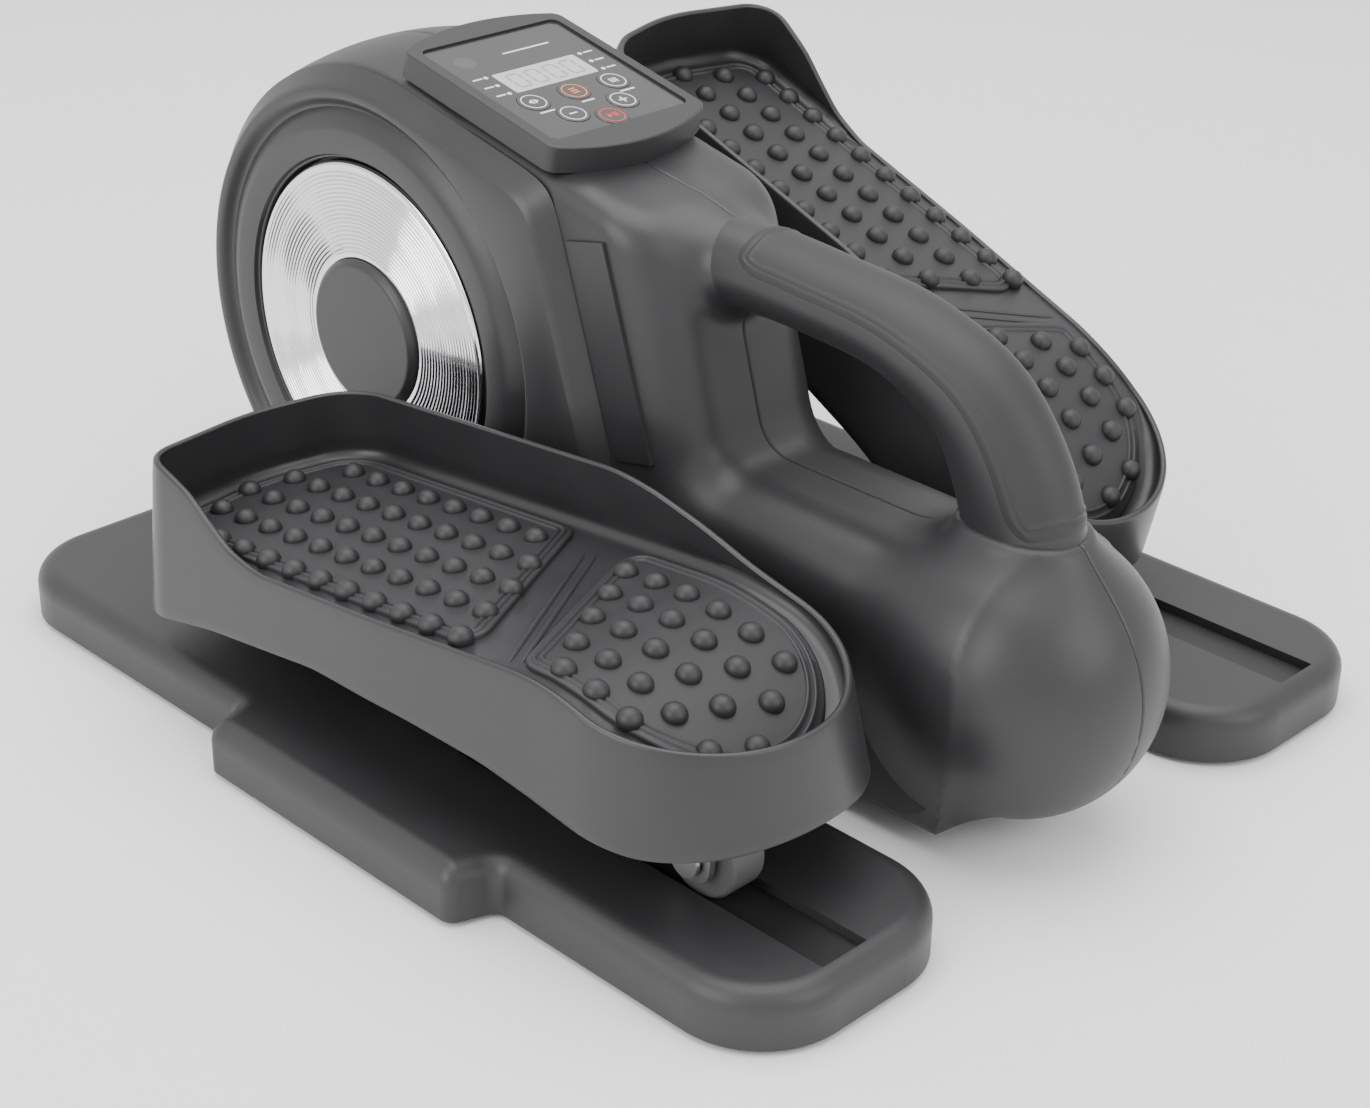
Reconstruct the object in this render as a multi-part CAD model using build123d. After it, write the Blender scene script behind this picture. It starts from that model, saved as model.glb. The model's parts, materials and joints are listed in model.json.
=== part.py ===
from build123d import *
import math
import os

os.makedirs("parts", exist_ok=True)

# Under-desk pedal exerciser: two foot trays ride on a motor-driven crank at the toe and on
# rollers at the heel.  +Z is up, the user sits on the -Y side and X runs across the machine.
# The origin is on the floor, midway across the width and midway between the nose and the
# back of the round housing.  "Ahead" is a distance from the crank axis towards the user,
# "out" is a distance from the mid-plane.  Millimetres throughout.

# ---- clearances ----
RUN_FIT = 0.05          # radial, shaft in its bearing or hub
SEAT_GAP = 0.2          # around a piece that drops into a recess
MOVE_GAP = 0.5          # between bodies that move past each other

# ---- crank ----
CRANK_Z = 118.7         # height of the crank axis
CRANK_R = 65.4          # axis to pedal pin
DISC_MARGIN = 1.1       # disc beyond the pin's boss
REST_CRANK_DEG = 13.5   # left pedal pin behind straight down
AXLE_R = 7.5
DISC_T = 4.5
CHROME_T = 2.0
HUB_CAP_R = 34.5
HUB_CAP_T = 5.4
HUB_CAP_BEVEL = 1.6
BOSS_R = 11.0
PIN_R = 6.0
DISC_R = CRANK_R + BOSS_R + DISC_MARGIN

# ---- body ----
HOUSING_R = 124.0       # crown of the round housing, on the mid-plane
CROWN = 6.0             # the housing is this much larger on the mid-plane than at its flat side
COVER_SLOPE = 8.0       # side cover's rim, in from its foot on the housing
SHOULDER_R = HOUSING_R - CROWN
COVER_R = SHOULDER_R - COVER_SLOPE
BODY_HALF = 44.0        # mid-plane to the flat side of the shells
COVER_T = 9.0           # side cover, from the flat side to its face
COVER_OUT = BODY_HALF + COVER_T
DISC_GAP = 1.5          # crank disc to the edge of the hole it turns in
COVER_HOLE_R = DISC_R + DISC_GAP
GROOVE_R = 101.0        # soft groove round the cover's raised ring
GROOVE_W = 9.0
GROOVE_DEPTH = 4.0
WALL = 3.0
BODY_Z0 = 9.0           # underside of the body
DECK_DEG = 12.0         # slope of the console deck
DECK_SINK = 2.0         # deck below the crown of the housing
DECK_RISE = HOUSING_R - DECK_SINK
DECK_LEN = 99.0         # foot of the normal to the front end of the deck
COLUMN_TOP_Z = 205.0
COLUMN_TOP_AHEAD = 166.0
COLUMN_FOOT_Z = 60.0
COLUMN_FOOT_AHEAD = 210.0
COLUMN_CORNER_R = 26.0
NECK_TOP_Z = 113.0
NECK_EDGE_R = 30.0
NOSE_R = 58.0
NOSE_W_R = 56.0         # the nose is a little narrower than it is long
NOSE_AHEAD = 330.0      # centre of the round nose
COVER_FRONT_TOP = 106.0 # side cover's front edge, ahead, at the top
COVER_FRONT_TOP_Z = 209.0
COVER_FRONT_LEAN = 0.336
COVER_CORNER_R = 14.0
STRIP_AHEAD_GAP = 24.0  # width of the side strip, along Y
STRIP_TOP_Z = 195.0
STRIP_FOOT_Z = 108.0
STRIP_T = 3.0
NOSE_PANEL_T = 1.5
NOSE_PANEL_TOP_Z = 62.0
NOSE_PANEL_FOOT_Z = 13.0
NOSE_PANEL_FRONT = 331.0
NOSE_PANEL_BACK = 196.0

# ---- carry handle ----
HANDLE_W = 40.0
HANDLE_T = 33.0
HANDLE_LEG_T = 50.0
HANDLE_PATH = [         # ahead, height, heading in degrees (0 level, -90 straight down), thickness
    (140.0, 184.0, 0.0, 44.0),
    (175.0, 190.0, 0.0, 37.0),
    (225.0, 189.5, -3.0, HANDLE_T),
    (270.0, 184.0, -16.0, 35.0),
    (303.0, 168.0, -42.0, 42.0),
    (320.0, 143.0, -66.0, 49.0),
    (330.0, 112.0, -78.0, HANDLE_LEG_T),
    (334.0, 90.0, -80.0, HANDLE_LEG_T),
]
GRIP_T = 1.5
GRIP_START = 192.0
GRIP_END_Z = 118.0

# ---- console; "along" runs down the slope from the foot of the normal through the crank axis ----
CONSOLE_H = 10.4        # deck to the face of the overlay
CONSOLE_RISE = DECK_RISE + CONSOLE_H
OVERLAY_W = 76.0
OVERLAY_L = 85.0
OVERLAY_ALONG = 40.2    # middle of the overlay
OVERLAY_T = 1.0
BEZEL_W = 87.0
BEZEL_RIM = 1.0         # rim above the overlay
BEZEL_LEDGE = 4.0       # shelf that the overlay lies on
BEZEL_SIDE_MARGIN = 4.0 # bezel beyond the overlay where its curved ends begin
BEZEL_TOP_BULGE = 9.0
BEZEL_FOOT_BULGE = 12.0
BEZEL_CORNER_R = 6.0
WINDOW_W = 46.0
WINDOW_L = 17.0
WINDOW_ALONG = 34.7
KEY_R = 7.0
KEY_T = 1.4
KEY_PROUD = 0.3
KEY_TRAVEL = 0.4
KEY_STEM_R = 2.0
BOARD_T = 1.6
DOME_H = 1.2
DOME_R = 3.0
KEYS = {                # across, +X to the left foot's far side, and along
    "direction_key": (-22.5, 52.5),
    "mode_key": (0.0, 52.5),
    "function_key": (22.5, 52.5),
    "slower_key": (-14.0, 67.5),
    "faster_key": (14.0, 67.5),
    "start_stop_key": (0.0, 76.0),
}
LAMP_R = 1.1
LAMPS = [(-26.5, 27.0), (-26.5, 34.5), (-26.5, 42.0), (26.5, 27.0), (26.5, 34.5), (26.5, 42.0)]
REMOTE_R = 5.0
REMOTE_AT = (-25.6, 12.8)

# ---- base pods ----
POD_IN = 79.4
POD_OUT = 191.4
POD_BULGE = 18.6        # wider middle of a pod, beyond its ends
POD_BULGE_OUT = POD_OUT + POD_BULGE
POD_AHEAD = 377.4
POD_BACK = 88.4
BULGE_AHEAD = 240.0
BULGE_BACK = 87.0
POD_CORNER_R = 37.3
POD_TOP = 25.2
POD_EDGE_R = 9.0
FOOT_H = 2.5
FOOT_R = 10.0
BASE_COVER_T = 2.0
SLOT_IN = 129.8
SLOT_OUT = 152.9
SLOT_FRONT = 368.9
SLOT_BACK = 176.0
SLOT_DEPTH = 5.0
TRACK_T = 1.0
TUBE_W = 30.0
TUBE_H = 14.0
TUBE_WALL = 2.0
TUBE_Z0 = 6.0
TUBE_AHEAD = [70.0, -45.0]
TUBE_OUT = 118.0

# ---- pedal, measured from the roller axle: along towards the toe, up square to the bed ----
PIN_ALONG = 286.5
PIN_UP = 46.8
ROLLER_R = 18.0
ROLLER_W = 16.0
ROLLER_AXLE_R = 4.0
TRAY_IN = 79.5          # inner side of the foot space at the rim
TRAY_W = 103.0          # clear width of the foot space at the rim
TRAY_WALL = 3.0
TRAY_FLARE = 4.0        # the walls stand this much outside the rim line, on average
TOE_ALONG = 280.5
HEEL_ALONG = -28.5
BED_UP = 68.2
BED_T = 3.0
BED_LEVEL_END = 58.6    # heel-ward of this the bed falls away on an arc
BED_DROP_R = 125.0
RIM_UP = 100.2
SIDE_RIM_UP = 68.7
MAT_T = 2.0
MAT_MARGIN = 4.0
PIN_BOSS_R = 13.0
PIN_BOSS_L = 28.5       # boss inside the tray wall
PIN_BOSS_OUT = TRAY_IN + PIN_BOSS_L
FORK_T = 3.0
FORK_GAP = 20.0         # between the cheeks
FORK_PLATE_UP = 29.0
FORK_PLATE_L = 36.0
FORK_CHEEK_R = 9.0
POST_R = 4.0
POST_FROM_FOOT = 40.0   # screw post from the nearest foot, clear of the cross tubes

# ---- drive inside the housing ----
FRAME_PLATE_OUT = 26.0
FRAME_PLATE_T = 3.0
BEARING_R = 16.0
BEARING_W = 9.0
PULLEY_R = 60.0
PULLEY_W = 10.0
MOTOR_PULLEY_R = 12.0
MOTOR_AHEAD = 112.0
MOTOR_Z = 84.0
MOTOR_R = 30.0
MOTOR_L = 18.0
MOTOR_SHAFT_R = 4.0
BELT_T = 2.0
BELT_W = 8.0
SCREW_R = 2.0
SCREW_HEAD_R = 3.6
SCREW_HEAD_H = 2.4

CRANK_Y = (NOSE_AHEAD + NOSE_R - HOUSING_R) / 2
TRACK_Z = POD_TOP - SLOT_DEPTH + TRACK_T
ROLLER_Z = TRACK_Z + 0.3 + ROLLER_R
TRAY_MID = TRAY_IN + TRAY_W / 2
TRACK_MID = (SLOT_IN + SLOT_OUT) / 2
BOSS_END = COVER_OUT + 4.0
OPEN_PIVOT_GAP = MOVE_GAP
DISC_IN = BODY_HALF + 1.0

nodes = {}


def add(name, *solids):
    """Puts one or more solids in a node."""
    found = []
    for item in solids:
        found.extend(item.solids())
    nodes[name] = found


def ahead(distance):
    """Y of a point that lies this far from the crank axis towards the user."""
    return CRANK_Y - distance


def outline(corners):
    """Closed face from (x, y, radius) corners, each rounded by its own tangent arc."""
    count = len(corners)
    starts, mids, ends = [], [], []
    for i in range(count):
        here = Vector(corners[i][0], corners[i][1])
        back = Vector(*corners[i - 1][:2]) - here
        onward = Vector(*corners[(i + 1) % count][:2]) - here
        radius = corners[i][2]
        if radius == 0:
            starts.append(here)
            mids.append(None)
            ends.append(here)
            continue
        back = back.normalized()
        onward = onward.normalized()
        half = math.acos(max(-1.0, min(1.0, back.dot(onward)))) / 2
        reach = radius / math.tan(half)
        centre = here + (back + onward).normalized() * (radius / math.sin(half))
        starts.append(here + back * reach)
        mids.append(centre + (here - centre).normalized() * radius)
        ends.append(here + onward * reach)
    edges = []
    for i in range(count):
        if mids[i] is not None:
            edges.append(ThreePointArc(starts[i], mids[i], ends[i]))
        following = starts[(i + 1) % count]
        if (following - ends[i]).length > 1e-6:
            edges.append(Line(ends[i], following))
    return make_face(edges)


def across(face, x0, x1):
    """Extrudes a face drawn as (Y, Z) from x0 to x1."""
    return extrude(Plane.YZ.offset(x0) * face, x1 - x0)


def upward(face, z0, z1):
    """Extrudes a face drawn as (X, Y) from z0 to z1."""
    return extrude(Pos(0, 0, z0) * face, z1 - z0)


def block(x0, x1, y0, y1, z0, z1):
    """Box from its limits."""
    return Pos((x0 + x1) / 2, (y0 + y1) / 2, (z0 + z1) / 2) * Box(x1 - x0, y1 - y0, z1 - z0)


def rod(x0, x1, y, z, radius):
    """Cylinder along X."""
    return Pos((x0 + x1) / 2, y, z) * Rot(0, 90, 0) * Cylinder(radius, x1 - x0)


def both(shape):
    """A right-hand shape and its mirror image, the left one first."""
    return mirror(shape, about=Plane.YZ), shape


# ---------------------------------------------------------------- linkage at rest
PIN_REACH = math.hypot(PIN_ALONG, PIN_UP)
PIN_RISE_DEG = math.degrees(math.atan2(PIN_UP, PIN_ALONG))


def linkage(crank_deg):
    """Pin Y and Z, roller Y and tray tilt with the crank this far past straight down."""
    turn = math.radians(crank_deg)
    pin_y = CRANK_Y - CRANK_R * math.sin(turn)
    pin_z = CRANK_Z - CRANK_R * math.cos(turn)
    rise = pin_z - ROLLER_Z
    roller_y = pin_y - math.sqrt(PIN_REACH ** 2 - rise ** 2)
    tilt = math.degrees(math.asin(rise / PIN_REACH)) - PIN_RISE_DEG
    return pin_y, pin_z, roller_y, tilt


REST = {"left": linkage(REST_CRANK_DEG), "right": linkage(REST_CRANK_DEG + 180)}


def place(side, shape):
    """Moves a right-hand tray piece from its own frame to its place at rest."""
    roller_y, tilt = REST[side][2:]
    if side == "left":
        shape = mirror(shape, about=Plane.YZ)
    return Pos(0, roller_y, ROLLER_Z) * Rot(tilt, 0, 0) * shape


# ---------------------------------------------------------------- base pods
def pod_outline(inset):
    """Plan of the right pod, drawn in by an inset."""
    front = ahead(POD_AHEAD) + inset
    back = ahead(-POD_BACK) - inset
    step_front = ahead(BULGE_AHEAD)
    step_back = ahead(BULGE_BACK)
    x0 = POD_IN + inset
    x1 = POD_OUT - inset
    x2 = POD_BULGE_OUT - inset
    corner = POD_CORNER_R - inset
    lean = 3.0
    convex = 6.0 - inset / 2
    concave = 6.0 + inset / 2
    return outline([
        (x0, front, corner),
        (x1, front, corner),
        (x1, step_front + inset - lean, concave),
        (x2, step_front + inset + lean, convex),
        (x2, step_back - inset - lean, convex),
        (x1, step_back - inset + lean, concave),
        (x1, back, corner),
        (x0, back, corner),
    ])


def tube_space(y, gap):
    """Space that a cross tube takes, with a gap all round."""
    half = TUBE_W / 2 + gap
    return block(-TUBE_OUT - gap, TUBE_OUT + gap, y - half, y + half, TUBE_Z0 - gap, TUBE_Z0 + TUBE_H + gap)


tube_ys = [ahead(distance) for distance in TUBE_AHEAD]
pod = upward(pod_outline(0), FOOT_H, POD_TOP)
pod = fillet(pod.faces().sort_by(Axis.Z)[-1].edges(), POD_EDGE_R)
hollow = upward(pod_outline(WALL), FOOT_H, POD_TOP - WALL)
slot_well = block(
    SLOT_IN - WALL, SLOT_OUT + WALL,
    ahead(SLOT_FRONT) - WALL, ahead(SLOT_BACK) + WALL,
    POD_TOP - SLOT_DEPTH - WALL, POD_TOP,
)
slot = block(SLOT_IN, SLOT_OUT, ahead(SLOT_FRONT), ahead(SLOT_BACK), POD_TOP - SLOT_DEPTH, POD_TOP + 1)
pod = pod - (hollow - slot_well) - slot
foot_points = [
    (POD_IN + POD_CORNER_R * 0.7, ahead(POD_AHEAD - POD_CORNER_R)),
    (POD_OUT - POD_CORNER_R * 0.7, ahead(POD_AHEAD - POD_CORNER_R)),
    (POD_IN + POD_CORNER_R * 0.7, ahead(POD_CORNER_R - POD_BACK)),
    (POD_OUT - POD_CORNER_R * 0.7, ahead(POD_CORNER_R - POD_BACK)),
]
for tube_y in tube_ys:
    pod = pod - tube_space(tube_y, SEAT_GAP)
base_cover = upward(pod_outline(WALL + SEAT_GAP), FOOT_H, FOOT_H + BASE_COVER_T)
screw_posts = []
base_screws = []
for x, y in foot_points:
    post_y = y - math.copysign(POST_FROM_FOOT, y - ahead(150.0))
    post = Pos(x, post_y) * upward(Circle(POST_R), FOOT_H + BASE_COVER_T, POD_TOP - WALL + 1)
    pilot = Pos(x, post_y) * upward(Circle(SCREW_R + RUN_FIT), 0, POD_TOP - 2 * WALL)
    pod = pod + post - pilot
    base_cover = base_cover - pilot
    shank = Pos(x, post_y) * upward(Circle(SCREW_R), FOOT_H, POD_TOP - 2 * WALL - 1)
    head = Pos(x, post_y) * upward(Circle(SCREW_HEAD_R), FOOT_H - 1.5, FOOT_H)
    base_screws.append(shank + head)
left_pod, right_pod = both(pod)
add("left_base_pod", left_pod)
add("right_base_pod", right_pod)
add("base_covers", *both(base_cover))
feet = []
for x, y in foot_points:
    foot = Pos(x, y) * upward(Circle(FOOT_R), 0, FOOT_H)
    foot = chamfer(foot.faces().sort_by(Axis.Z)[0].edges(), 0.6)
    feet.extend(both(foot))
add("rubber_feet", *feet)
screws = []
for screw in base_screws:
    screws.extend(both(screw))
add("base_screws", *screws)
track = block(
    SLOT_IN + SEAT_GAP, SLOT_OUT - SEAT_GAP,
    ahead(SLOT_FRONT) + SEAT_GAP, ahead(SLOT_BACK) - SEAT_GAP,
    POD_TOP - SLOT_DEPTH, TRACK_Z,
)
add("tracks", *both(track))
tubes = []
for tube_y in tube_ys:
    tube = tube_space(tube_y, 0)
    bore = block(
        -TUBE_OUT - 1, TUBE_OUT + 1,
        tube_y - TUBE_W / 2 + TUBE_WALL, tube_y + TUBE_W / 2 - TUBE_WALL,
        TUBE_Z0 + TUBE_WALL, TUBE_Z0 + TUBE_H - TUBE_WALL,
    )
    tubes.append(tube - bore)
add("cross_tubes", *tubes)


# ---------------------------------------------------------------- body shells
DECK_ALONG = Vector(0, -math.cos(math.radians(DECK_DEG)), -math.sin(math.radians(DECK_DEG)))
DECK_NORMAL = Vector(0, -math.sin(math.radians(DECK_DEG)), math.cos(math.radians(DECK_DEG)))
CRANK_POINT = Vector(0, CRANK_Y, CRANK_Z)


def deck_point(rise, along):
    """(Y, Z) of a point above the crank axis, square to the deck, then along the deck."""
    point = CRANK_POINT + DECK_NORMAL * rise + DECK_ALONG * along
    return point.Y, point.Z


def body_form(inset):
    """Solid form of the whole body, drawn in by an inset on every face."""
    half = BODY_HALF - inset
    barrel_profile = make_face([
        Line((-half, 0), (-half, SHOULDER_R - inset)),
        ThreePointArc((-half, SHOULDER_R - inset), (0, HOUSING_R - inset), (half, SHOULDER_R - inset)),
        Line((half, SHOULDER_R - inset), (half, 0)),
        Line((half, 0), (-half, 0)),
    ])
    barrel = Pos(0, CRANK_Y, CRANK_Z) * revolve(barrel_profile, Axis.X)
    deck_back = deck_point(DECK_RISE - inset, 0)
    deck_front = deck_point(DECK_RISE - inset, DECK_LEN)
    top_front = ahead(COLUMN_TOP_AHEAD - inset)
    deck = across(outline([
        (CRANK_Y, CRANK_Z, 0),
        (deck_back[0], deck_back[1], 0),
        (deck_front[0], deck_front[1], 25.0),
        (top_front + 4, COLUMN_TOP_Z - inset, 0),
        (top_front, COLUMN_TOP_Z - 20 - inset, 0),
        (top_front + 20, CRANK_Z, 0),
    ]), -half, half)
    deck_edges = deck.edges().filter_by(GeomType.LINE).filter_by(
        lambda e: abs(e.center().Y - top_front) < 14 and e.length > 5 and abs(e.center().X) > 1)
    deck = fillet(deck_edges, COLUMN_CORNER_R / 2)
    depth_top = COLUMN_TOP_AHEAD - 40 - 2 * inset
    depth_foot = COLUMN_FOOT_AHEAD - 40 - 2 * inset
    corner = COLUMN_CORNER_R - inset
    column = loft([
        Pos(0, ahead(COLUMN_FOOT_AHEAD - inset) + depth_foot / 2, COLUMN_FOOT_Z)
        * RectangleRounded(2 * half, depth_foot, corner),
        Pos(0, ahead(COLUMN_TOP_AHEAD - inset) + depth_top / 2, COLUMN_TOP_Z - inset)
        * RectangleRounded(2 * half, depth_top, corner),
    ])
    neck = block(-half, half, ahead(NOSE_AHEAD), ahead(60), BODY_Z0 + inset, NECK_TOP_Z - inset)
    neck = fillet(
        neck.edges().filter_by(Axis.Y).group_by(Axis.Z)[-1],
        NECK_EDGE_R - inset,
    )
    nose_profile = Ellipse(NOSE_W_R - inset, NOSE_R - inset) & (Pos(NOSE_R, 0) * Rectangle(2 * NOSE_R, 4 * NOSE_R))
    nose = Pos(0, ahead(NOSE_AHEAD), NOSE_R + BODY_Z0 + 1) * revolve(nose_profile, Axis.Y)
    form = barrel + deck + column + neck + nose
    under = block(-200, 200, -400, 400, -100, BODY_Z0 + inset)
    return form - under


# ---------------------------------------------------------------- console
console_y, console_z = deck_point(CONSOLE_RISE, 0)
console = Plane(
    origin=(0, console_y, console_z),
    x_dir=(1, 0, 0),
    z_dir=(0, DECK_NORMAL.Y, DECK_NORMAL.Z),
)


def on_console(face, z0, z1):
    """Extrudes a face drawn as (across, -along) between two heights above the overlay's face."""
    return extrude(console.offset(z0) * face, z1 - z0)


def console_rectangle(width, length, along, corner):
    """Rounded rectangle centred this far along the console."""
    return Pos(0, -along) * RectangleRounded(width, length, corner)


def bezel_outline(inset):
    """Plan of the bezel, whose two ends bow outwards."""
    half = BEZEL_W / 2 - inset
    top = OVERLAY_L / 2 - OVERLAY_ALONG + BEZEL_SIDE_MARGIN - inset
    foot = -OVERLAY_L / 2 - OVERLAY_ALONG - BEZEL_SIDE_MARGIN + inset
    face = make_face([
        ThreePointArc((-half, top), (0, top + BEZEL_TOP_BULGE), (half, top)),
        Line((half, top), (half, foot)),
        ThreePointArc((half, foot), (0, foot - BEZEL_FOOT_BULGE), (-half, foot)),
        Line((-half, foot), (-half, top)),
    ])
    return fillet(face.vertices(), BEZEL_CORNER_R - inset)


bezel = on_console(bezel_outline(0), -CONSOLE_H, BEZEL_RIM)
bezel = fillet(bezel.edges().group_by(
    lambda e: round(console.to_local_coords(e.center()).Z, 2))[-1], 0.8)
overlay_seat = console_rectangle(
    OVERLAY_W + 2 * SEAT_GAP, OVERLAY_L + 2 * SEAT_GAP, OVERLAY_ALONG, BEZEL_CORNER_R - 2)
bezel_window = console_rectangle(
    OVERLAY_W - 2 * BEZEL_LEDGE, OVERLAY_L - 2 * BEZEL_LEDGE, OVERLAY_ALONG, 2.0)
bezel = bezel - on_console(overlay_seat, -OVERLAY_T, BEZEL_RIM + 1)
bezel = bezel - on_console(bezel_window, -CONSOLE_H - 1, 0)
for x, along in KEYS.values():
    bezel = bezel - on_console(Pos(x, -along) * Circle(KEY_R + SEAT_GAP), -CONSOLE_H - 1, 1)
add("console_bezel", bezel)

overlay = on_console(
    console_rectangle(OVERLAY_W, OVERLAY_L, OVERLAY_ALONG, BEZEL_CORNER_R - 2 - SEAT_GAP), -OVERLAY_T, 0)
window_cut = console_rectangle(WINDOW_W + 2 * RUN_FIT, WINDOW_L + 2 * RUN_FIT, WINDOW_ALONG, 1.0)
overlay = overlay - on_console(window_cut, -OVERLAY_T - 1, 1)
for x, along in KEYS.values():
    overlay = overlay - on_console(Pos(x, -along) * Circle(KEY_R + SEAT_GAP), -OVERLAY_T - 1, 1)
for x, along in LAMPS:
    overlay = overlay - on_console(Pos(x, -along) * Circle(LAMP_R + RUN_FIT), -OVERLAY_T - 1, 1)
remote_cut = Pos(REMOTE_AT[0], -REMOTE_AT[1]) * Circle(REMOTE_R + RUN_FIT)
overlay = overlay - on_console(remote_cut, -OVERLAY_T - 1, 1)
add("console_overlay", overlay)

board_top = -CONSOLE_H + BOARD_T
window = on_console(console_rectangle(WINDOW_W, WINDOW_L, WINDOW_ALONG, 1.0), board_top, 0)
add("display_window", window)
add("indicator_lenses", *[
    on_console(Pos(x, -along) * Circle(LAMP_R), board_top, 0) for x, along in LAMPS])
add("remote_window", on_console(Pos(REMOTE_AT[0], -REMOTE_AT[1]) * Circle(REMOTE_R), board_top, 0))
board = on_console(console_rectangle(
    OVERLAY_W - 2 * BEZEL_LEDGE - 1, OVERLAY_L - 2 * BEZEL_LEDGE - 1, OVERLAY_ALONG, 2.0), -CONSOLE_H, board_top)
for x, along in KEYS.values():
    board = board + on_console(Pos(x, -along) * Circle(DOME_R), board_top, board_top + DOME_H)
add("console_board", board)
for name, (x, along) in KEYS.items():
    cap = on_console(Pos(x, -along) * Circle(KEY_R), KEY_PROUD - KEY_T, KEY_PROUD)
    cap = fillet(cap.edges().group_by(lambda e: round(console.to_local_coords(e.center()).Z, 2))[-1], 0.25)
    stem_foot = board_top + DOME_H + KEY_TRAVEL + RUN_FIT
    add(name, cap + on_console(Pos(x, -along) * Circle(KEY_STEM_R), stem_foot, KEY_PROUD - KEY_T))

# ---------------------------------------------------------------- body shells
outer_form = body_form(0)
inner_form = body_form(WALL)
shells = outer_form - inner_form
shells = shells - on_console(bezel_outline(-SEAT_GAP), -CONSOLE_H, 60)
shells = shells - rod(-BODY_HALF - 1, BODY_HALF + 1, CRANK_Y, CRANK_Z, AXLE_R + 4)
for tube_y in tube_ys:
    shells = shells - tube_space(tube_y, SEAT_GAP)

INLET_Z = 46.0
INLET_X = -18.0
INLET_R = 7.0
INLET_BORE_R = 2.8
INLET_PIN_R = 1.0
inlet_back = ahead(-math.sqrt((HOUSING_R - 3) ** 2 - (CRANK_Z - INLET_Z) ** 2)) + 2
inlet_cut = Pos(INLET_X, inlet_back - 14, INLET_Z) * Rot(90, 0, 0) * Cylinder(INLET_R + SEAT_GAP, 40)
inlet = Pos(INLET_X, inlet_back - 10, INLET_Z) * Rot(90, 0, 0) * Cylinder(INLET_R, 20)
inlet = inlet - Pos(INLET_X, inlet_back - 4, INLET_Z) * Rot(90, 0, 0) * Cylinder(INLET_BORE_R, 10)
inlet = inlet + Pos(INLET_X, inlet_back - 6, INLET_Z) * Rot(90, 0, 0) * Cylinder(INLET_PIN_R, 8)
add("power_inlet", inlet)

# side covers: D-shaped, round at the back, straight on top and in front
def cover_outline(radius, grow):
    """Side view of a side cover whose round part has this radius; the straight edges grow out."""
    top_tangent = deck_point(radius, 0)
    top_front = (ahead(COVER_FRONT_TOP + grow), COVER_FRONT_TOP_Z + grow)
    front_start = Vector(top_front[0], top_front[1])
    # meet the sloping top line and the leaning front line
    slope = math.tan(math.radians(DECK_DEG))
    y_meet = front_start.X
    for _ in range(20):
        z_meet = top_tangent[1] + (y_meet - top_tangent[0]) * slope
        y_meet = front_start.X + (z_meet - front_start.Y) * COVER_FRONT_LEAN
    floor_y = y_meet - (z_meet - BODY_Z0) * COVER_FRONT_LEAN
    round_part = Pos(CRANK_Y, CRANK_Z) * Circle(radius)
    front_part = outline([
        (CRANK_Y, CRANK_Z, 0),
        (top_tangent[0], top_tangent[1], 0),
        (y_meet, z_meet, COVER_CORNER_R),
        (floor_y, BODY_Z0, 0),
        (CRANK_Y, BODY_Z0, 0),
    ])
    face = round_part + front_part
    return face - Pos(CRANK_Y, BODY_Z0 - 50) * Rectangle(900, 100)


cover = loft([
    Plane.YZ.offset(BODY_HALF) * cover_outline(SHOULDER_R, COVER_OUT - BODY_HALF),
    Plane.YZ.offset(COVER_OUT) * cover_outline(COVER_R, 0),
])
pocket = across(cover_outline(COVER_R - WALL, -WALL), BODY_HALF - 1, BODY_HALF + WALL - 0.5)
pocket = pocket - rod(0, COVER_OUT, CRANK_Y, CRANK_Z, COVER_HOLE_R + WALL)
cover = cover - pocket - rod(0, 100, CRANK_Y, CRANK_Z, COVER_HOLE_R)
groove_torus_r = (GROOVE_DEPTH ** 2 + (GROOVE_W / 2) ** 2) / (2 * GROOVE_DEPTH)
groove = Pos(COVER_OUT + groove_torus_r - GROOVE_DEPTH, CRANK_Y, CRANK_Z) * Rot(0, 90, 0) * Torus(
    GROOVE_R, groove_torus_r)
cover = cover - groove
for tube_y in tube_ys:
    cover = cover - tube_space(tube_y, SEAT_GAP)
left_cover, right_cover = both(cover)
add("left_side_cover", left_cover)
add("right_side_cover", right_cover)


def cover_front(height):
    """Distance ahead of the side cover's front edge, at its foot on the shell, at a height."""
    return COVER_FRONT_TOP + COVER_OUT - BODY_HALF + (COVER_FRONT_TOP_Z - height) * COVER_FRONT_LEAN


strip = across(outline([
    (ahead(cover_front(STRIP_TOP_Z) + 3), STRIP_TOP_Z, 0),
    (ahead(cover_front(STRIP_TOP_Z) + STRIP_AHEAD_GAP), STRIP_TOP_Z + 5, 0),
    (ahead(cover_front(STRIP_FOOT_Z) + STRIP_AHEAD_GAP), STRIP_FOOT_Z + 5, 0),
    (ahead(cover_front(STRIP_FOOT_Z) + 3), STRIP_FOOT_Z, 0),
]), BODY_HALF - STRIP_T / 2, BODY_HALF + STRIP_T / 2)
panel_face = outline([
    (ahead(NOSE_PANEL_BACK), NOSE_PANEL_FOOT_Z, 4),
    (ahead(NOSE_PANEL_BACK), NOSE_PANEL_TOP_Z, 4),
    (ahead(NOSE_PANEL_FRONT), NOSE_PANEL_TOP_Z, (NOSE_PANEL_TOP_Z - NOSE_PANEL_FOOT_Z) / 2 - 1),
    (ahead(NOSE_PANEL_FRONT), NOSE_PANEL_FOOT_Z, (NOSE_PANEL_TOP_Z - NOSE_PANEL_FOOT_Z) / 2 - 1),
])
nose_panel = across(panel_face, BODY_HALF, BODY_HALF + NOSE_PANEL_T)
left_shell = shells & block(-300, 0, -500, 500, -10, 500)
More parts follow.
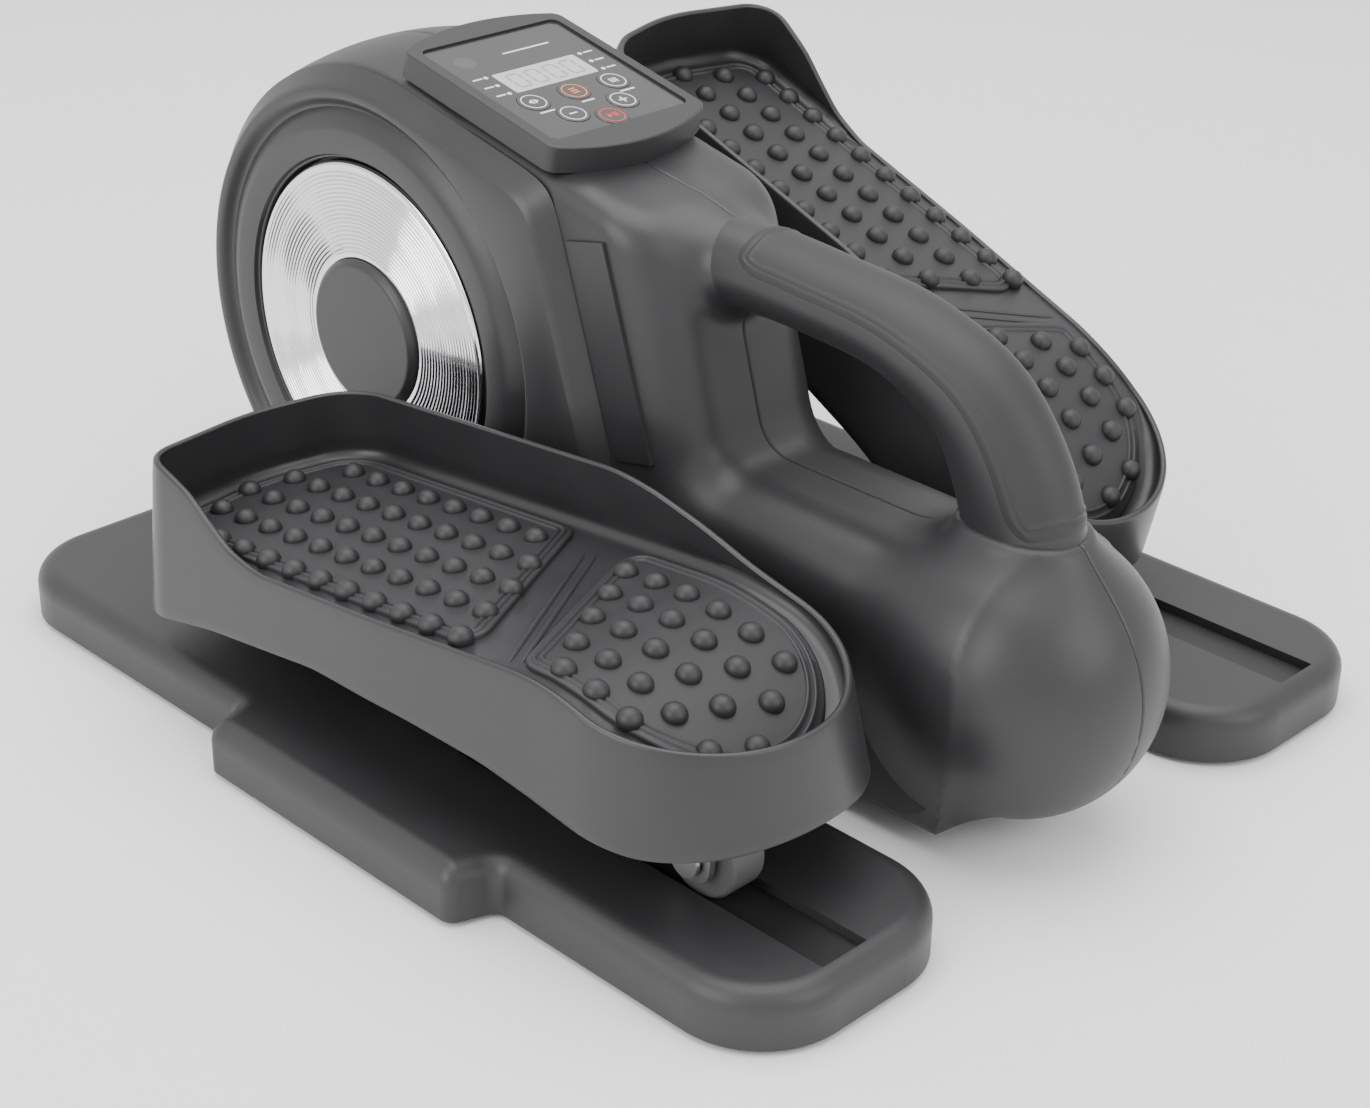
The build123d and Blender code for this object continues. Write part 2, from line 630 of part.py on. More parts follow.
for recess in (strip, across(panel_face, BODY_HALF, BODY_HALF + 60)):
    left_shell = left_shell - mirror(recess, about=Plane.YZ)
BODY_POSTS = [          # ahead, height of the screw posts that join the shells
    (-84.0, 62.0),
    (-70.0, 190.0),
    (80.0, 180.0),
    (205.0, 40.0),
    (290.0, 75.0),
    (330.0, 30.0),
]
POST_TOP = BODY_HALF - 0.5
SCREW_SEAT = BODY_HALF - 8.0     # mid-plane to the underside of a body screw's head
PILOT_L = BODY_HALF / 2
body_screws = []
for distance, height in BODY_POSTS:
    left_shell = left_shell + rod(-POST_TOP, 0, ahead(distance), height, POST_R + 1)
right_shell = left_shell
for distance, height in BODY_POSTS:
    y = ahead(distance)
    right_shell = right_shell - rod(-PILOT_L, 1, y, height, SCREW_R + RUN_FIT)
    left_shell = left_shell - rod(-BODY_HALF - 20, 1, y, height, SCREW_R + RUN_FIT)
    left_shell = left_shell - rod(-BODY_HALF - 20, -SCREW_SEAT, y, height, SCREW_HEAD_R + SEAT_GAP)
    screw = rod(-SCREW_SEAT, PILOT_L - 1, y, height, SCREW_R)
    body_screws.append(screw + rod(-SCREW_SEAT - SCREW_HEAD_H, -SCREW_SEAT, y, height, SCREW_HEAD_R))
add("body_screws", *body_screws)
right_shell = mirror(right_shell, about=Plane.YZ)
add("side_strips", *both(strip))
add("nose_panels", *both(nose_panel))

BOARD_SIZE = (50.0, 50.0)
BOARD_AHEAD = 35.0
BOARD_Z = 175.0
CONTROL_BOARD_OUT = 36.0
control_board = block(
    -CONTROL_BOARD_OUT, -CONTROL_BOARD_OUT + BOARD_T,
    ahead(BOARD_AHEAD) - BOARD_SIZE[0] / 2, ahead(BOARD_AHEAD) + BOARD_SIZE[0] / 2,
    BOARD_Z - BOARD_SIZE[1] / 2, BOARD_Z + BOARD_SIZE[1] / 2,
)
control_parts = [(12, 10, 8, 9), (-12, 12, 7, 7), (0, -12, 14, 4)]
for dy, dz, size, height in control_parts:
    control_board = control_board + block(
        -CONTROL_BOARD_OUT + BOARD_T, -CONTROL_BOARD_OUT + BOARD_T + height,
        ahead(BOARD_AHEAD) + dy - size / 2, ahead(BOARD_AHEAD) + dy + size / 2,
        BOARD_Z + dz - size / 2, BOARD_Z + dz + size / 2,
    )
add("control_board", control_board)
for dy in (-1, 1):
    for dz in (-1, 1):
        left_shell = left_shell + rod(
            -BODY_HALF + 1, -CONTROL_BOARD_OUT,
            ahead(BOARD_AHEAD) + dy * (BOARD_SIZE[0] / 2 - 5), BOARD_Z + dz * (BOARD_SIZE[1] / 2 - 5), 3.0)
left_shell = left_shell - inlet_cut
add("left_body_shell", left_shell)
add("right_body_shell", right_shell)

# ---------------------------------------------------------------- carry handle
def handle_form(inset):
    """Handle from the column's boss round to the nose, an ellipse at every station."""
    sections = []
    for distance, height, heading, thickness in HANDLE_PATH:
        turn = math.radians(heading)
        station = Plane(
            origin=(0, ahead(distance), height),
            x_dir=(1, 0, 0),
            z_dir=(0, -math.cos(turn), math.sin(turn)),
        )
        sections.append(station * Ellipse(HANDLE_W / 2 - inset, thickness / 2 - inset))
    return loft(sections)


handle = handle_form(0) - outer_form
grip_region = [(ahead(GRIP_START), 400.0), (ahead(GRIP_START), 190.0)]
for distance, height, heading, thickness in HANDLE_PATH[2:-1]:
    if height > GRIP_END_Z:
        grip_region.append((ahead(distance), height))
grip_region.append((ahead(HANDLE_PATH[-2][0] - 3), GRIP_END_Z))
grip_region.append((ahead(HANDLE_PATH[-1][0] + 80), GRIP_END_Z))
grip_region.append((ahead(HANDLE_PATH[-1][0] + 80), 400.0))
grip_band = across(make_face(Polyline(*grip_region, close=True)), -60, 60)
grip = (handle - handle_form(GRIP_T)) & grip_band
handle = handle - grip
add("carry_handle", handle)
add("handle_grip", grip)

# ---------------------------------------------------------------- drive
plate_face = outline([
    (ahead(-55), TUBE_Z0 + TUBE_H, 0),
    (ahead(-24), CRANK_Z + 12, 10),
    (ahead(-12), CRANK_Z + BEARING_R + 8, 8),
    (ahead(12), CRANK_Z + BEARING_R + 8, 8),
    (ahead(MOTOR_AHEAD - 10), MOTOR_Z + MOTOR_R + 6, 12),
    (ahead(MOTOR_AHEAD + MOTOR_R + 4), MOTOR_Z + MOTOR_R - 4, 14),
    (ahead(MOTOR_AHEAD + MOTOR_R + 4), MOTOR_Z - MOTOR_R, 14),
    (ahead(82), TUBE_Z0 + TUBE_H, 0),
])
frame_plate = across(plate_face, FRAME_PLATE_OUT, FRAME_PLATE_OUT + FRAME_PLATE_T)
frame_plate = frame_plate - rod(0, 60, CRANK_Y, CRANK_Z, BEARING_R + RUN_FIT)
add("frame_plates", *both(frame_plate))
bearing = rod(FRAME_PLATE_OUT - 3, FRAME_PLATE_OUT - 3 + BEARING_W, CRANK_Y, CRANK_Z, BEARING_R)
bearing = bearing - rod(0, 60, CRANK_Y, CRANK_Z, AXLE_R + RUN_FIT)
add("axle_bearings", *both(bearing))
motor_y = ahead(MOTOR_AHEAD)
motor = rod(FRAME_PLATE_OUT - MOTOR_L, FRAME_PLATE_OUT, motor_y, MOTOR_Z, MOTOR_R)
motor = motor - rod(0, FRAME_PLATE_OUT - 4, motor_y, MOTOR_Z, MOTOR_SHAFT_R + RUN_FIT)
add("motor", motor)
motor_pulley = rod(-PULLEY_W / 2, PULLEY_W / 2, motor_y, MOTOR_Z, MOTOR_PULLEY_R)
motor_pulley = motor_pulley + rod(-PULLEY_W / 2 - 1, FRAME_PLATE_OUT - 5, motor_y, MOTOR_Z, MOTOR_SHAFT_R)
add("motor_pulley", motor_pulley)


def belt_outline(extra):
    """Outside of a belt run round both pulleys, this far out from them."""
    big = Vector(CRANK_Y, CRANK_Z)
    small = Vector(motor_y, MOTOR_Z)
    big_r = PULLEY_R + extra
    small_r = MOTOR_PULLEY_R + extra
    link = small - big
    lean = math.degrees(math.asin((big_r - small_r) / link.length))
    heading = math.degrees(math.atan2(link.Y, link.X))
    corners = []
    for centre, radius, turn in ((big, big_r, 1), (small, small_r, 1), (small, small_r, -1), (big, big_r, -1)):
        angle = math.radians(heading + turn * (90 - lean))
        corners.append((centre.X + radius * math.cos(angle), centre.Y + radius * math.sin(angle), 0))
    face = outline(corners) + Pos(big.X, big.Y) * Circle(big_r)
    return face + Pos(small.X, small.Y) * Circle(small_r)


belt = across(belt_outline(0.3 + BELT_T) - belt_outline(0.3), -BELT_W / 2, BELT_W / 2)
add("drive_belt", belt)
sensor = block(
    -FRAME_PLATE_OUT, -PULLEY_W / 2 - 4,
    ahead(-30) - 6, ahead(-30) + 6, CRANK_Z - 56, CRANK_Z - 46)
add("speed_sensor", sensor)

# ---------------------------------------------------------------- crank
pulley = rod(-PULLEY_W / 2, PULLEY_W / 2, CRANK_Y, CRANK_Z, PULLEY_R)
for x0 in (-PULLEY_W / 2 - 1, PULLEY_W / 2):
    pulley = pulley + rod(x0, x0 + 1, CRANK_Y, CRANK_Z, PULLEY_R + 2.5)
pulley = pulley - rod(-20, 20, CRANK_Y, CRANK_Z, AXLE_R + RUN_FIT)
add("driven_pulley", pulley)
disc_out = DISC_IN + DISC_T
add("crank_axle", rod(-disc_out, disc_out, CRANK_Y, CRANK_Z, AXLE_R))
for side in ("left", "right"):
    pin_y, pin_z = REST[side][:2]
    disc = rod(DISC_IN, disc_out, CRANK_Y, CRANK_Z, DISC_R)
    disc = disc - rod(0, 100, CRANK_Y, CRANK_Z, AXLE_R + RUN_FIT)
    disc = disc + rod(DISC_IN, BOSS_END, pin_y, pin_z, BOSS_R)
    chrome = rod(disc_out, disc_out + CHROME_T, CRANK_Y, CRANK_Z, DISC_R - 0.5)
    chrome = chrome - rod(0, 100, CRANK_Y, CRANK_Z, HUB_CAP_R + SEAT_GAP)
    chrome = chrome - rod(0, 100, pin_y, pin_z, BOSS_R + SEAT_GAP)
    cap = rod(disc_out, disc_out + HUB_CAP_T, CRANK_Y, CRANK_Z, HUB_CAP_R)
    cap = chamfer(cap.edges().group_by(Axis.X)[-1], HUB_CAP_BEVEL)
    pieces = {"crank_disc": disc, "chrome_ring": chrome, "hub_cap": cap}
    for piece, solid in pieces.items():
        add(f"{side}_{piece}", solid if side == "right" else mirror(solid, about=Plane.YZ))

# ---------------------------------------------------------------- pedals
TRAY_OUT = TRAY_IN + TRAY_W


def tray_outline(grow):
    """Plan of the foot space at the rim, as (out, along), grown outwards."""
    return outline([
        (TRAY_IN - grow, TOE_ALONG - 9 + grow, 24.0 + grow),
        (TRAY_IN + TRAY_W * 0.45, TOE_ALONG + 1 + grow, 90.0),
        (TRAY_OUT + 1 + grow, TOE_ALONG - 7 + grow, 15.0 + grow),
        (TRAY_OUT - 1 + grow, TOE_ALONG - 150, 0),
        (TRAY_OUT - 5 + grow, HEEL_ALONG + 70, 0),
        (TRAY_OUT - 6 + grow, HEEL_ALONG - grow, 48.0),
        (TRAY_IN + 1 - grow, HEEL_ALONG - grow, 48.0),
        (TRAY_IN - grow, HEEL_ALONG + 80, 0),
    ])


def bed_profile(lift):
    """Side view of everything under the bed's surface, lifted by an amount."""
    level = BED_UP + lift
    radius = BED_DROP_R - lift
    reach = BED_LEVEL_END - HEEL_ALONG + 2
    turn = math.asin(min(0.999, reach / radius))
    middle = turn / 2
    centre = (BED_LEVEL_END, level - radius)
    end = (centre[0] - radius * math.sin(turn), centre[1] + radius * math.cos(turn))
    mid = (centre[0] - radius * math.sin(middle), centre[1] + radius * math.cos(middle))
    return make_face([
        Line((TOE_ALONG + 60, level), (BED_LEVEL_END, level)),
        ThreePointArc((BED_LEVEL_END, level), mid, end),
        Line(end, (HEEL_ALONG - 60, end[1])),
        Line((HEEL_ALONG - 60, end[1]), (HEEL_ALONG - 60, -200)),
        Line((HEEL_ALONG - 60, -200), (TOE_ALONG + 60, -200)),
        Line((TOE_ALONG + 60, -200), (TOE_ALONG + 60, level)),
    ])


def under_bed(lift):
    """Solid space under the bed's surface, wider than the tray."""
    return across(bed_profile(lift), 0, TRAY_OUT + 80)


# rim and skirt lines as (along, up), from the toe to the heel
TOE_REACH = TOE_ALONG + 40
HEEL_REACH = HEEL_ALONG - 40
INNER_RIM = [
    (TOE_REACH, RIM_UP), (BED_LEVEL_END + 50, RIM_UP), (BED_LEVEL_END + 30, RIM_UP - 4),
    (BED_LEVEL_END + 5, RIM_UP - 13), (BED_LEVEL_END - 19, RIM_UP - 24), (BED_LEVEL_END - 60, RIM_UP - 38),
    (HEEL_ALONG, RIM_UP - 49), (HEEL_REACH, RIM_UP - 56),
]
OUTER_RIM = [
    (TOE_ALONG - 16, RIM_UP), (TOE_ALONG - 37, RIM_UP - 8), (TOE_ALONG - 51, RIM_UP - 17.5),
    (TOE_ALONG - 64, RIM_UP - 25.5), (TOE_ALONG - 79, SIDE_RIM_UP + 2), (TOE_ALONG - 94, SIDE_RIM_UP),
    (BED_LEVEL_END + 10, SIDE_RIM_UP), (BED_LEVEL_END - 30, SIDE_RIM_UP - 3),
    (BED_LEVEL_END - 60, SIDE_RIM_UP - 11), (HEEL_ALONG, SIDE_RIM_UP - 17), (HEEL_REACH, SIDE_RIM_UP - 24),
]
SKIRT = [
    (TOE_REACH, 31.0), (TOE_ALONG + 8, 32.7), (TOE_ALONG - 52, 38.7), (TOE_ALONG - 117, 40.7),
    (BED_LEVEL_END + 50, 35.7), (BED_LEVEL_END + 10, 30.7), (BED_LEVEL_END - 30, 21.7),
    (BED_LEVEL_END - 60, 15.2), (BED_LEVEL_END - 80, 15.2), (HEEL_ALONG - 14, 22.0), (HEEL_REACH, 31.0),
]


def between(upper, lower):
    """Side face between two lines that run from the toe to the heel."""
    return make_face([
        Polyline(*upper),
        Line(upper[-1], lower[-1]),
        Polyline(*lower),
        Line(lower[0], upper[0]),
    ])


def post_points():
    """Where the fork's screws stand, as (out, along)."""
    along = FORK_PLATE_L / 2 - 7
    out = FORK_GAP / 2 + FORK_T + 6
    return [(TRACK_MID + dx * out, dy * along) for dx in (-1, 1) for dy in (-1, 1)]


inner_prism = upward(tray_outline(TRAY_FLARE), -10, RIM_UP + 1)
outer_prism = upward(tray_outline(TRAY_FLARE + TRAY_WALL), -10, RIM_UP + 1)
bed_slab = inner_prism & (under_bed(0) - under_bed(-BED_T))
tray = (outer_prism - inner_prism) + bed_slab
tray = tray & across(between(INNER_RIM, SKIRT), 0, 300)
high_line = [(x, RIM_UP + 40) for x in (OUTER_RIM[0][0], HEEL_REACH)]
tray = tray - across(between(high_line, OUTER_RIM), TRAY_MID, 300)
pin_boss = rod(TRAY_IN - 12, PIN_BOSS_OUT, PIN_ALONG, PIN_UP, PIN_BOSS_R)
tray = tray + (pin_boss - (inner_prism & (under_bed(60) - under_bed(0))))
tray = tray - rod(0, PIN_BOSS_OUT - 6, PIN_ALONG, PIN_UP, PIN_R + RUN_FIT)
fork_top = FORK_PLATE_UP + FORK_T
for x, y in post_points():
    post = Pos(x, y) * upward(Circle(POST_R), fork_top, BED_UP)
    tray = tray + (post & under_bed(-BED_T / 2))
    tray = tray - Pos(x, y) * upward(Circle(SCREW_R + RUN_FIT), 0, fork_top + 9)

mat_prism = upward(tray_outline(TRAY_FLARE - MAT_MARGIN), 0, RIM_UP)
mat_skin = mat_prism & (under_bed(MAT_T) - under_bed(0))
FORE_MAT_HEEL = (148.0, 61.5)    # along, where the cut meets the lines 30 outside each side
HEEL_MAT_TOE = (114.0, 40.0)
fore_mat_cut = upward(make_face(Polyline(
    (TRAY_IN - 30, FORE_MAT_HEEL[0]), (TRAY_OUT + 30, FORE_MAT_HEEL[1]),
    (TRAY_OUT + 30, TOE_ALONG + 50), (TRAY_IN - 30, TOE_ALONG + 50), close=True)), 0, 150)
heel_mat_cut = upward(make_face(Polyline(
    (TRAY_IN - 30, HEEL_MAT_TOE[0]), (TRAY_OUT + 30, HEEL_MAT_TOE[1]),
    (TRAY_OUT + 30, HEEL_ALONG - 50), (TRAY_IN - 30, HEEL_ALONG - 50), close=True)), 0, 150)
pin = rod(BOSS_END + OPEN_PIVOT_GAP, PIN_BOSS_OUT - 7, PIN_ALONG, PIN_UP, PIN_R)
pin = pin + rod(BOSS_END + OPEN_PIVOT_GAP, TRAY_IN - 12 - SEAT_GAP, PIN_ALONG, PIN_UP, PIN_R + 4)
fork = Pos(TRACK_MID, 0) * upward(
    RectangleRounded(FORK_GAP + 2 * FORK_T + 2 * POST_R + 14, FORK_PLATE_L, 5), FORK_PLATE_UP, fork_top)
for sign in (-1, 1):
    x0 = TRACK_MID + sign * (FORK_GAP / 2 + FORK_T / 2) - FORK_T / 2
    cheek = across(outline([
        (-FORK_PLATE_L / 2 + 4, FORK_PLATE_UP, 0),
        (FORK_PLATE_L / 2 - 4, FORK_PLATE_UP, 0),
        (FORK_CHEEK_R, -FORK_CHEEK_R, FORK_CHEEK_R - 1),
        (-FORK_CHEEK_R, -FORK_CHEEK_R, FORK_CHEEK_R - 1),
    ]), x0, x0 + FORK_T)
    fork = fork + cheek
fork = fork - rod(0, 300, 0, 0, ROLLER_AXLE_R + RUN_FIT)
fork_screws = []
for x, y in post_points():
    fork = fork - Pos(x, y) * upward(Circle(SCREW_R + RUN_FIT), 0, 100)
    screw = upward(Circle(SCREW_R), FORK_PLATE_UP, fork_top + 8)
    screw = screw + upward(Circle(SCREW_HEAD_R), FORK_PLATE_UP - SCREW_HEAD_H, FORK_PLATE_UP)
    fork_screws.append(Pos(x, y) * screw)
half_axle = FORK_GAP / 2 + FORK_T + 1.0
axle = rod(TRACK_MID - half_axle, TRACK_MID + half_axle, 0, 0, ROLLER_AXLE_R)
for sign in (-1, 1):
    x0 = TRACK_MID + sign * half_axle
    axle = axle + rod(min(x0, x0 + sign * 2), max(x0, x0 + sign * 2), 0, 0, ROLLER_AXLE_R + 2.5)
roller = rod(TRACK_MID - ROLLER_W / 2, TRACK_MID + ROLLER_W / 2, 0, 0, ROLLER_R)
roller = chamfer(roller.edges(), 1.0)
roller = roller - rod(0, 300, 0, 0, ROLLER_AXLE_R + RUN_FIT)
pedal_pieces = {
    "pedal_tray": tray,
    "forefoot_mat": mat_skin & fore_mat_cut,
    "heel_mat": mat_skin & heel_mat_cut,
    "pedal_pin": pin,
    "heel_fork": fork,
    "fork_screws": Compound(children=fork_screws),
    "roller_axle": axle,
    "roller": roller,
}
for side in ("left", "right"):
    for piece, solid in pedal_pieces.items():
        add(f"{side}_{piece}", place(side, solid))

for name, solids in nodes.items():
    shape = solids[0] if len(solids) == 1 else Compound(children=solids)
    shape.label = name
    export_step(shape, f"parts/{name}.step")
print(len(nodes), "nodes;", "crank axis Y", CRANK_Y, "roller axle Z", round(ROLLER_Z, 3))
for side, (pin_y, pin_z, roller_y, tilt) in REST.items():
    print(side, "pin", round(pin_y, 3), round(pin_z, 3), "roller", round(roller_y, 3), "tilt", round(tilt, 3))
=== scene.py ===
"""Under-desk pedal exerciser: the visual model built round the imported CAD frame."""
import json
import logging
import math
from dataclasses import dataclass, field
from enum import Enum
from typing import Callable

import bmesh
import bpy
import numpy as np
from mathutils import Matrix, Vector


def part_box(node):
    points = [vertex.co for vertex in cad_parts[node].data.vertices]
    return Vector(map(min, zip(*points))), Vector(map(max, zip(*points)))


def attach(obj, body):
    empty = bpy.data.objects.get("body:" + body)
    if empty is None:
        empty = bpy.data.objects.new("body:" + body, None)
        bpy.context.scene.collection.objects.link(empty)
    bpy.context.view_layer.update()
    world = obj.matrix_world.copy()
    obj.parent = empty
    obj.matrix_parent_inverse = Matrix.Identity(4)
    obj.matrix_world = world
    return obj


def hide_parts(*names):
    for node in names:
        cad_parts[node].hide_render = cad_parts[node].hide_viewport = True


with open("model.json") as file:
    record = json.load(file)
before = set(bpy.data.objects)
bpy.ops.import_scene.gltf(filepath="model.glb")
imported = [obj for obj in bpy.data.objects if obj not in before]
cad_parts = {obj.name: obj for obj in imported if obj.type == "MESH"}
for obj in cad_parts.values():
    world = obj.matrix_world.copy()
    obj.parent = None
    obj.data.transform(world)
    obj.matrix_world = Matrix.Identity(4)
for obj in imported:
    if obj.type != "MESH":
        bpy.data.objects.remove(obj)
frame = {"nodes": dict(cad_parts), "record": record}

LOG = logging.getLogger("pedal_exerciser")
MM = 0.001
SEED = 7
SHARP_DEG = 42.0         # faces that meet at more than this keep a crisp edge
ALMOST_POINT = 1e-3      # share of an outline left where a slab's caps close
ON_AXIS = 0.01           # radius that stands for the axis of a turned piece


class Side(Enum):
    """The two sides of the machine, with the sign of their X."""

    LEFT = -1
    RIGHT = 1

    @property
    def word(self) -> str:
        """Name used in the CAD nodes."""
        return self.name.lower()


# ---------------------------------------------------------------- finishes
@dataclass(frozen=True)
class Finish:
    """A surface finish: colour with slight mottling, gloss variation and fine relief.

    Attributes:
        name: maker's name of the finish.
        colour: base colour, linear.
        roughness: middle roughness.
        metallic: 1 for bare metal.
        mottle: how far the colour strays, as a share.
        grain: noise scale of the relief, per metre.
        relief: strength of the relief.
        coat: clear coat weight.
        transmission: share of light let through.
    """

    name: str
    colour: tuple[float, float, float]
    roughness: float
    metallic: float = 0.0
    mottle: float = 0.12
    grain: float = 900.0
    relief: float = 0.06
    coat: float = 0.0
    transmission: float = 0.0

    def build(self) -> bpy.types.Material:
        """Makes the material, or gives the one already made.

        Returns:
            The material.
        """
        known = bpy.data.materials.get(self.name)
        if known is not None:
            return known
        material = bpy.data.materials.new(self.name)
        material.use_nodes = True
        tree = material.node_tree
        shader = tree.nodes["Principled BSDF"]
        shader.inputs["Metallic"].default_value = self.metallic
        shader.inputs["Coat Weight"].default_value = self.coat
        shader.inputs["Transmission Weight"].default_value = self.transmission
        place = tree.nodes.new("ShaderNodeTexCoord")
        cloud = tree.nodes.new("ShaderNodeTexNoise")
        cloud.inputs["Scale"].default_value = 38.0
        cloud.inputs["Detail"].default_value = 3.0
        tree.links.new(place.outputs["Object"], cloud.inputs["Vector"])
        tint = tree.nodes.new("ShaderNodeMix")
        tint.data_type = "RGBA"
        low = tuple(c * (1 - self.mottle) for c in self.colour)
        high = tuple(min(1.0, c * (1 + self.mottle)) for c in self.colour)
        tint.inputs[6].default_value = (*low, 1.0)
        tint.inputs[7].default_value = (*high, 1.0)
        tree.links.new(cloud.outputs["Fac"], tint.inputs[0])
        tree.links.new(tint.outputs[2], shader.inputs["Base Color"])
        gloss = tree.nodes.new("ShaderNodeMapRange")
        gloss.inputs["To Min"].default_value = max(0.02, self.roughness - 0.06)
        gloss.inputs["To Max"].default_value = min(1.0, self.roughness + 0.06)
        tree.links.new(cloud.outputs["Fac"], gloss.inputs["Value"])
        tree.links.new(gloss.outputs["Result"], shader.inputs["Roughness"])
        if self.relief > 0:
            grain = tree.nodes.new("ShaderNodeTexNoise")
            grain.inputs["Scale"].default_value = self.grain
            grain.inputs["Detail"].default_value = 2.0
            tree.links.new(place.outputs["Object"], grain.inputs["Vector"])
            bump = tree.nodes.new("ShaderNodeBump")
            bump.inputs["Strength"].default_value = self.relief
            bump.inputs["Distance"].default_value = 0.0002
            tree.links.new(grain.outputs["Fac"], bump.inputs["Height"])
            tree.links.new(bump.outputs["Normal"], shader.inputs["Normal"])
        return material


BODY_PLASTIC = Finish("charcoal body plastic", (0.022, 0.022, 0.0235), 0.42, relief=0.10)
COVER_PLASTIC = Finish("charcoal cover plastic", (0.025, 0.025, 0.0265), 0.38, relief=0.08)
TRAY_PLASTIC = Finish("charcoal tray plastic", (0.024, 0.024, 0.0255), 0.36, relief=0.08)
POD_PLASTIC = Finish("charcoal pod plastic", (0.025, 0.025, 0.0265), 0.45, relief=0.12)
# Dark plastic for the parts set in recesses and gaps: the crank disc, motor can, track strip and connectors.
# Partly their own darker plastic, partly painted shade that stands in for the shade in those recesses.
DARK_PLASTIC_PAINTED_SHADE = Finish("dark plastic with painted recess shade", (0.013, 0.013, 0.014), 0.5, relief=0.12)
GRIP_RUBBER = Finish("soft grip", (0.018, 0.018, 0.019), 0.55, relief=0.18, grain=1400.0)
MAT_RUBBER = Finish("mat rubber", (0.019, 0.019, 0.0205), 0.5, relief=0.12)
FOOT_RUBBER = Finish("foot rubber", (0.016, 0.016, 0.016), 0.75, relief=0.2)
CHROME = Finish("grooved chrome", (0.80, 0.80, 0.82), 0.12, metallic=1.0, mottle=0.03, relief=0.0)
STEEL = Finish("zinc plated steel", (0.46, 0.46, 0.47), 0.34, metallic=1.0, relief=0.05)
BEZEL_PLASTIC = Finish("console rim plastic", (0.022, 0.022, 0.024), 0.22, coat=0.4, relief=0.03)
FILM = Finish("console film", (0.030, 0.029, 0.030), 0.24, coat=0.5, relief=0.02)
GLASS = Finish("display glass", (0.50, 0.53, 0.50), 0.16, coat=0.6, mottle=0.04, relief=0.0)
DIGIT = Finish("display digits", (0.30, 0.32, 0.30), 0.3, mottle=0.04, relief=0.0)
INK_WHITE = Finish("white print", (0.72, 0.72, 0.72), 0.5, mottle=0.04, relief=0.02)
INK_ORANGE = Finish("orange print", (0.85, 0.26, 0.04), 0.5, mottle=0.05, relief=0.02)
INK_RED = Finish("red print", (0.70, 0.04, 0.03), 0.5, mottle=0.05, relief=0.02)
LENS = Finish("lamp lens", (0.75, 0.75, 0.73), 0.2, coat=0.5, mottle=0.05, relief=0.0)
SMOKED = Finish("smoked window", (0.05, 0.035, 0.035), 0.12, coat=0.8, relief=0.0)
BOARD = Finish("circuit board", (0.012, 0.07, 0.03), 0.35, relief=0.1)
NYLON = Finish("roller nylon", (0.09, 0.09, 0.09), 0.5)
FLOOR_PAINT = Finish("pale floor", (0.90, 0.90, 0.90), 0.7, mottle=0.01, relief=0.0)

NODE_FINISH = {
    "pod_plastic": POD_PLASTIC, "body_plastic": BODY_PLASTIC, "cover_plastic": COVER_PLASTIC,
    "cap_plastic": COVER_PLASTIC, "tray_plastic": TRAY_PLASTIC, "mat_rubber": MAT_RUBBER,
    "foot_rubber": FOOT_RUBBER, "belt_rubber": FOOT_RUBBER, "chrome_trim": CHROME,
    # The disc, motor can, track strip and connector slots take the dark plastic with painted recess shade.
    "disc_plastic": DARK_PLASTIC_PAINTED_SHADE, "steel": STEEL, "screw_steel": STEEL, "motor_can": DARK_PLASTIC_PAINTED_SHADE,
    "roller_nylon": NYLON, "track_strip": DARK_PLASTIC_PAINTED_SHADE, "overlay_film": FILM, "key_film": FILM,
    "display_glass": GLASS, "lamp_lens": LENS, "remote_glass": SMOKED, "circuit_board": BOARD,
    "connector_plastic": DARK_PLASTIC_PAINTED_SHADE,
}


# ---------------------------------------------------------------- mesh helpers, in millimetres
def piece_name(words: str) -> str:
    """Object name from plain words, apart from the CAD node's own name.

    Args:
        words: the piece's name in plain words.

    Returns:
        The object's name.
    """
    return words.replace(" ", "_") + "_surface"


def make_piece(
        name: str, points: np.ndarray, faces: list, finish: Finish, flat: bool = False) -> bpy.types.Object:
    """Builds a mesh object from millimetre points, with outward normals.

    Args:
        name: the piece's name.
        points: (n, 3) points in the row frame, in millimetres.
        faces: lists of point numbers.
        finish: the surface finish.
        flat: True keeps every face flat.

    Returns:
        The new object, at the origin.
    """
    name = piece_name(name)
    mesh = bpy.data.meshes.new(name)
    mesh.from_pydata((np.asarray(points) * MM).tolist(), [], [list(map(int, f)) for f in faces])
    work = bmesh.new()
    work.from_mesh(mesh)
    bmesh.ops.remove_doubles(work, verts=work.verts, dist=2e-6)
    bmesh.ops.recalc_face_normals(work, faces=work.faces)
    work.to_mesh(mesh)
    work.free()
    mesh.materials.append(finish.build())
    if not flat:
        mesh.shade_smooth()
        mesh.set_sharp_from_angle(angle=math.radians(SHARP_DEG))
    piece = bpy.data.objects.new(name, mesh)
    bpy.context.scene.collection.objects.link(piece)
    return piece


def grid_faces(rows: int, columns: int, wrap_rows: bool = False) -> np.ndarray:
    """Quads of a grid whose columns close on themselves.

    Args:
        rows: number of rings.
        columns: points in each ring.
        wrap_rows: True joins the last ring to the first.

    Returns:
        (m, 4) point numbers.
    """
    last = rows if wrap_rows else rows - 1
    i, j = np.meshgrid(np.arange(last), np.arange(columns), indexing="ij")
    after, beside = (i + 1) % rows, (j + 1) % columns
    corners = [i * columns + j, i * columns + beside, after * columns + beside, after * columns + j]
    quads = np.stack(corners, -1)
    return quads.reshape(-1, 4)


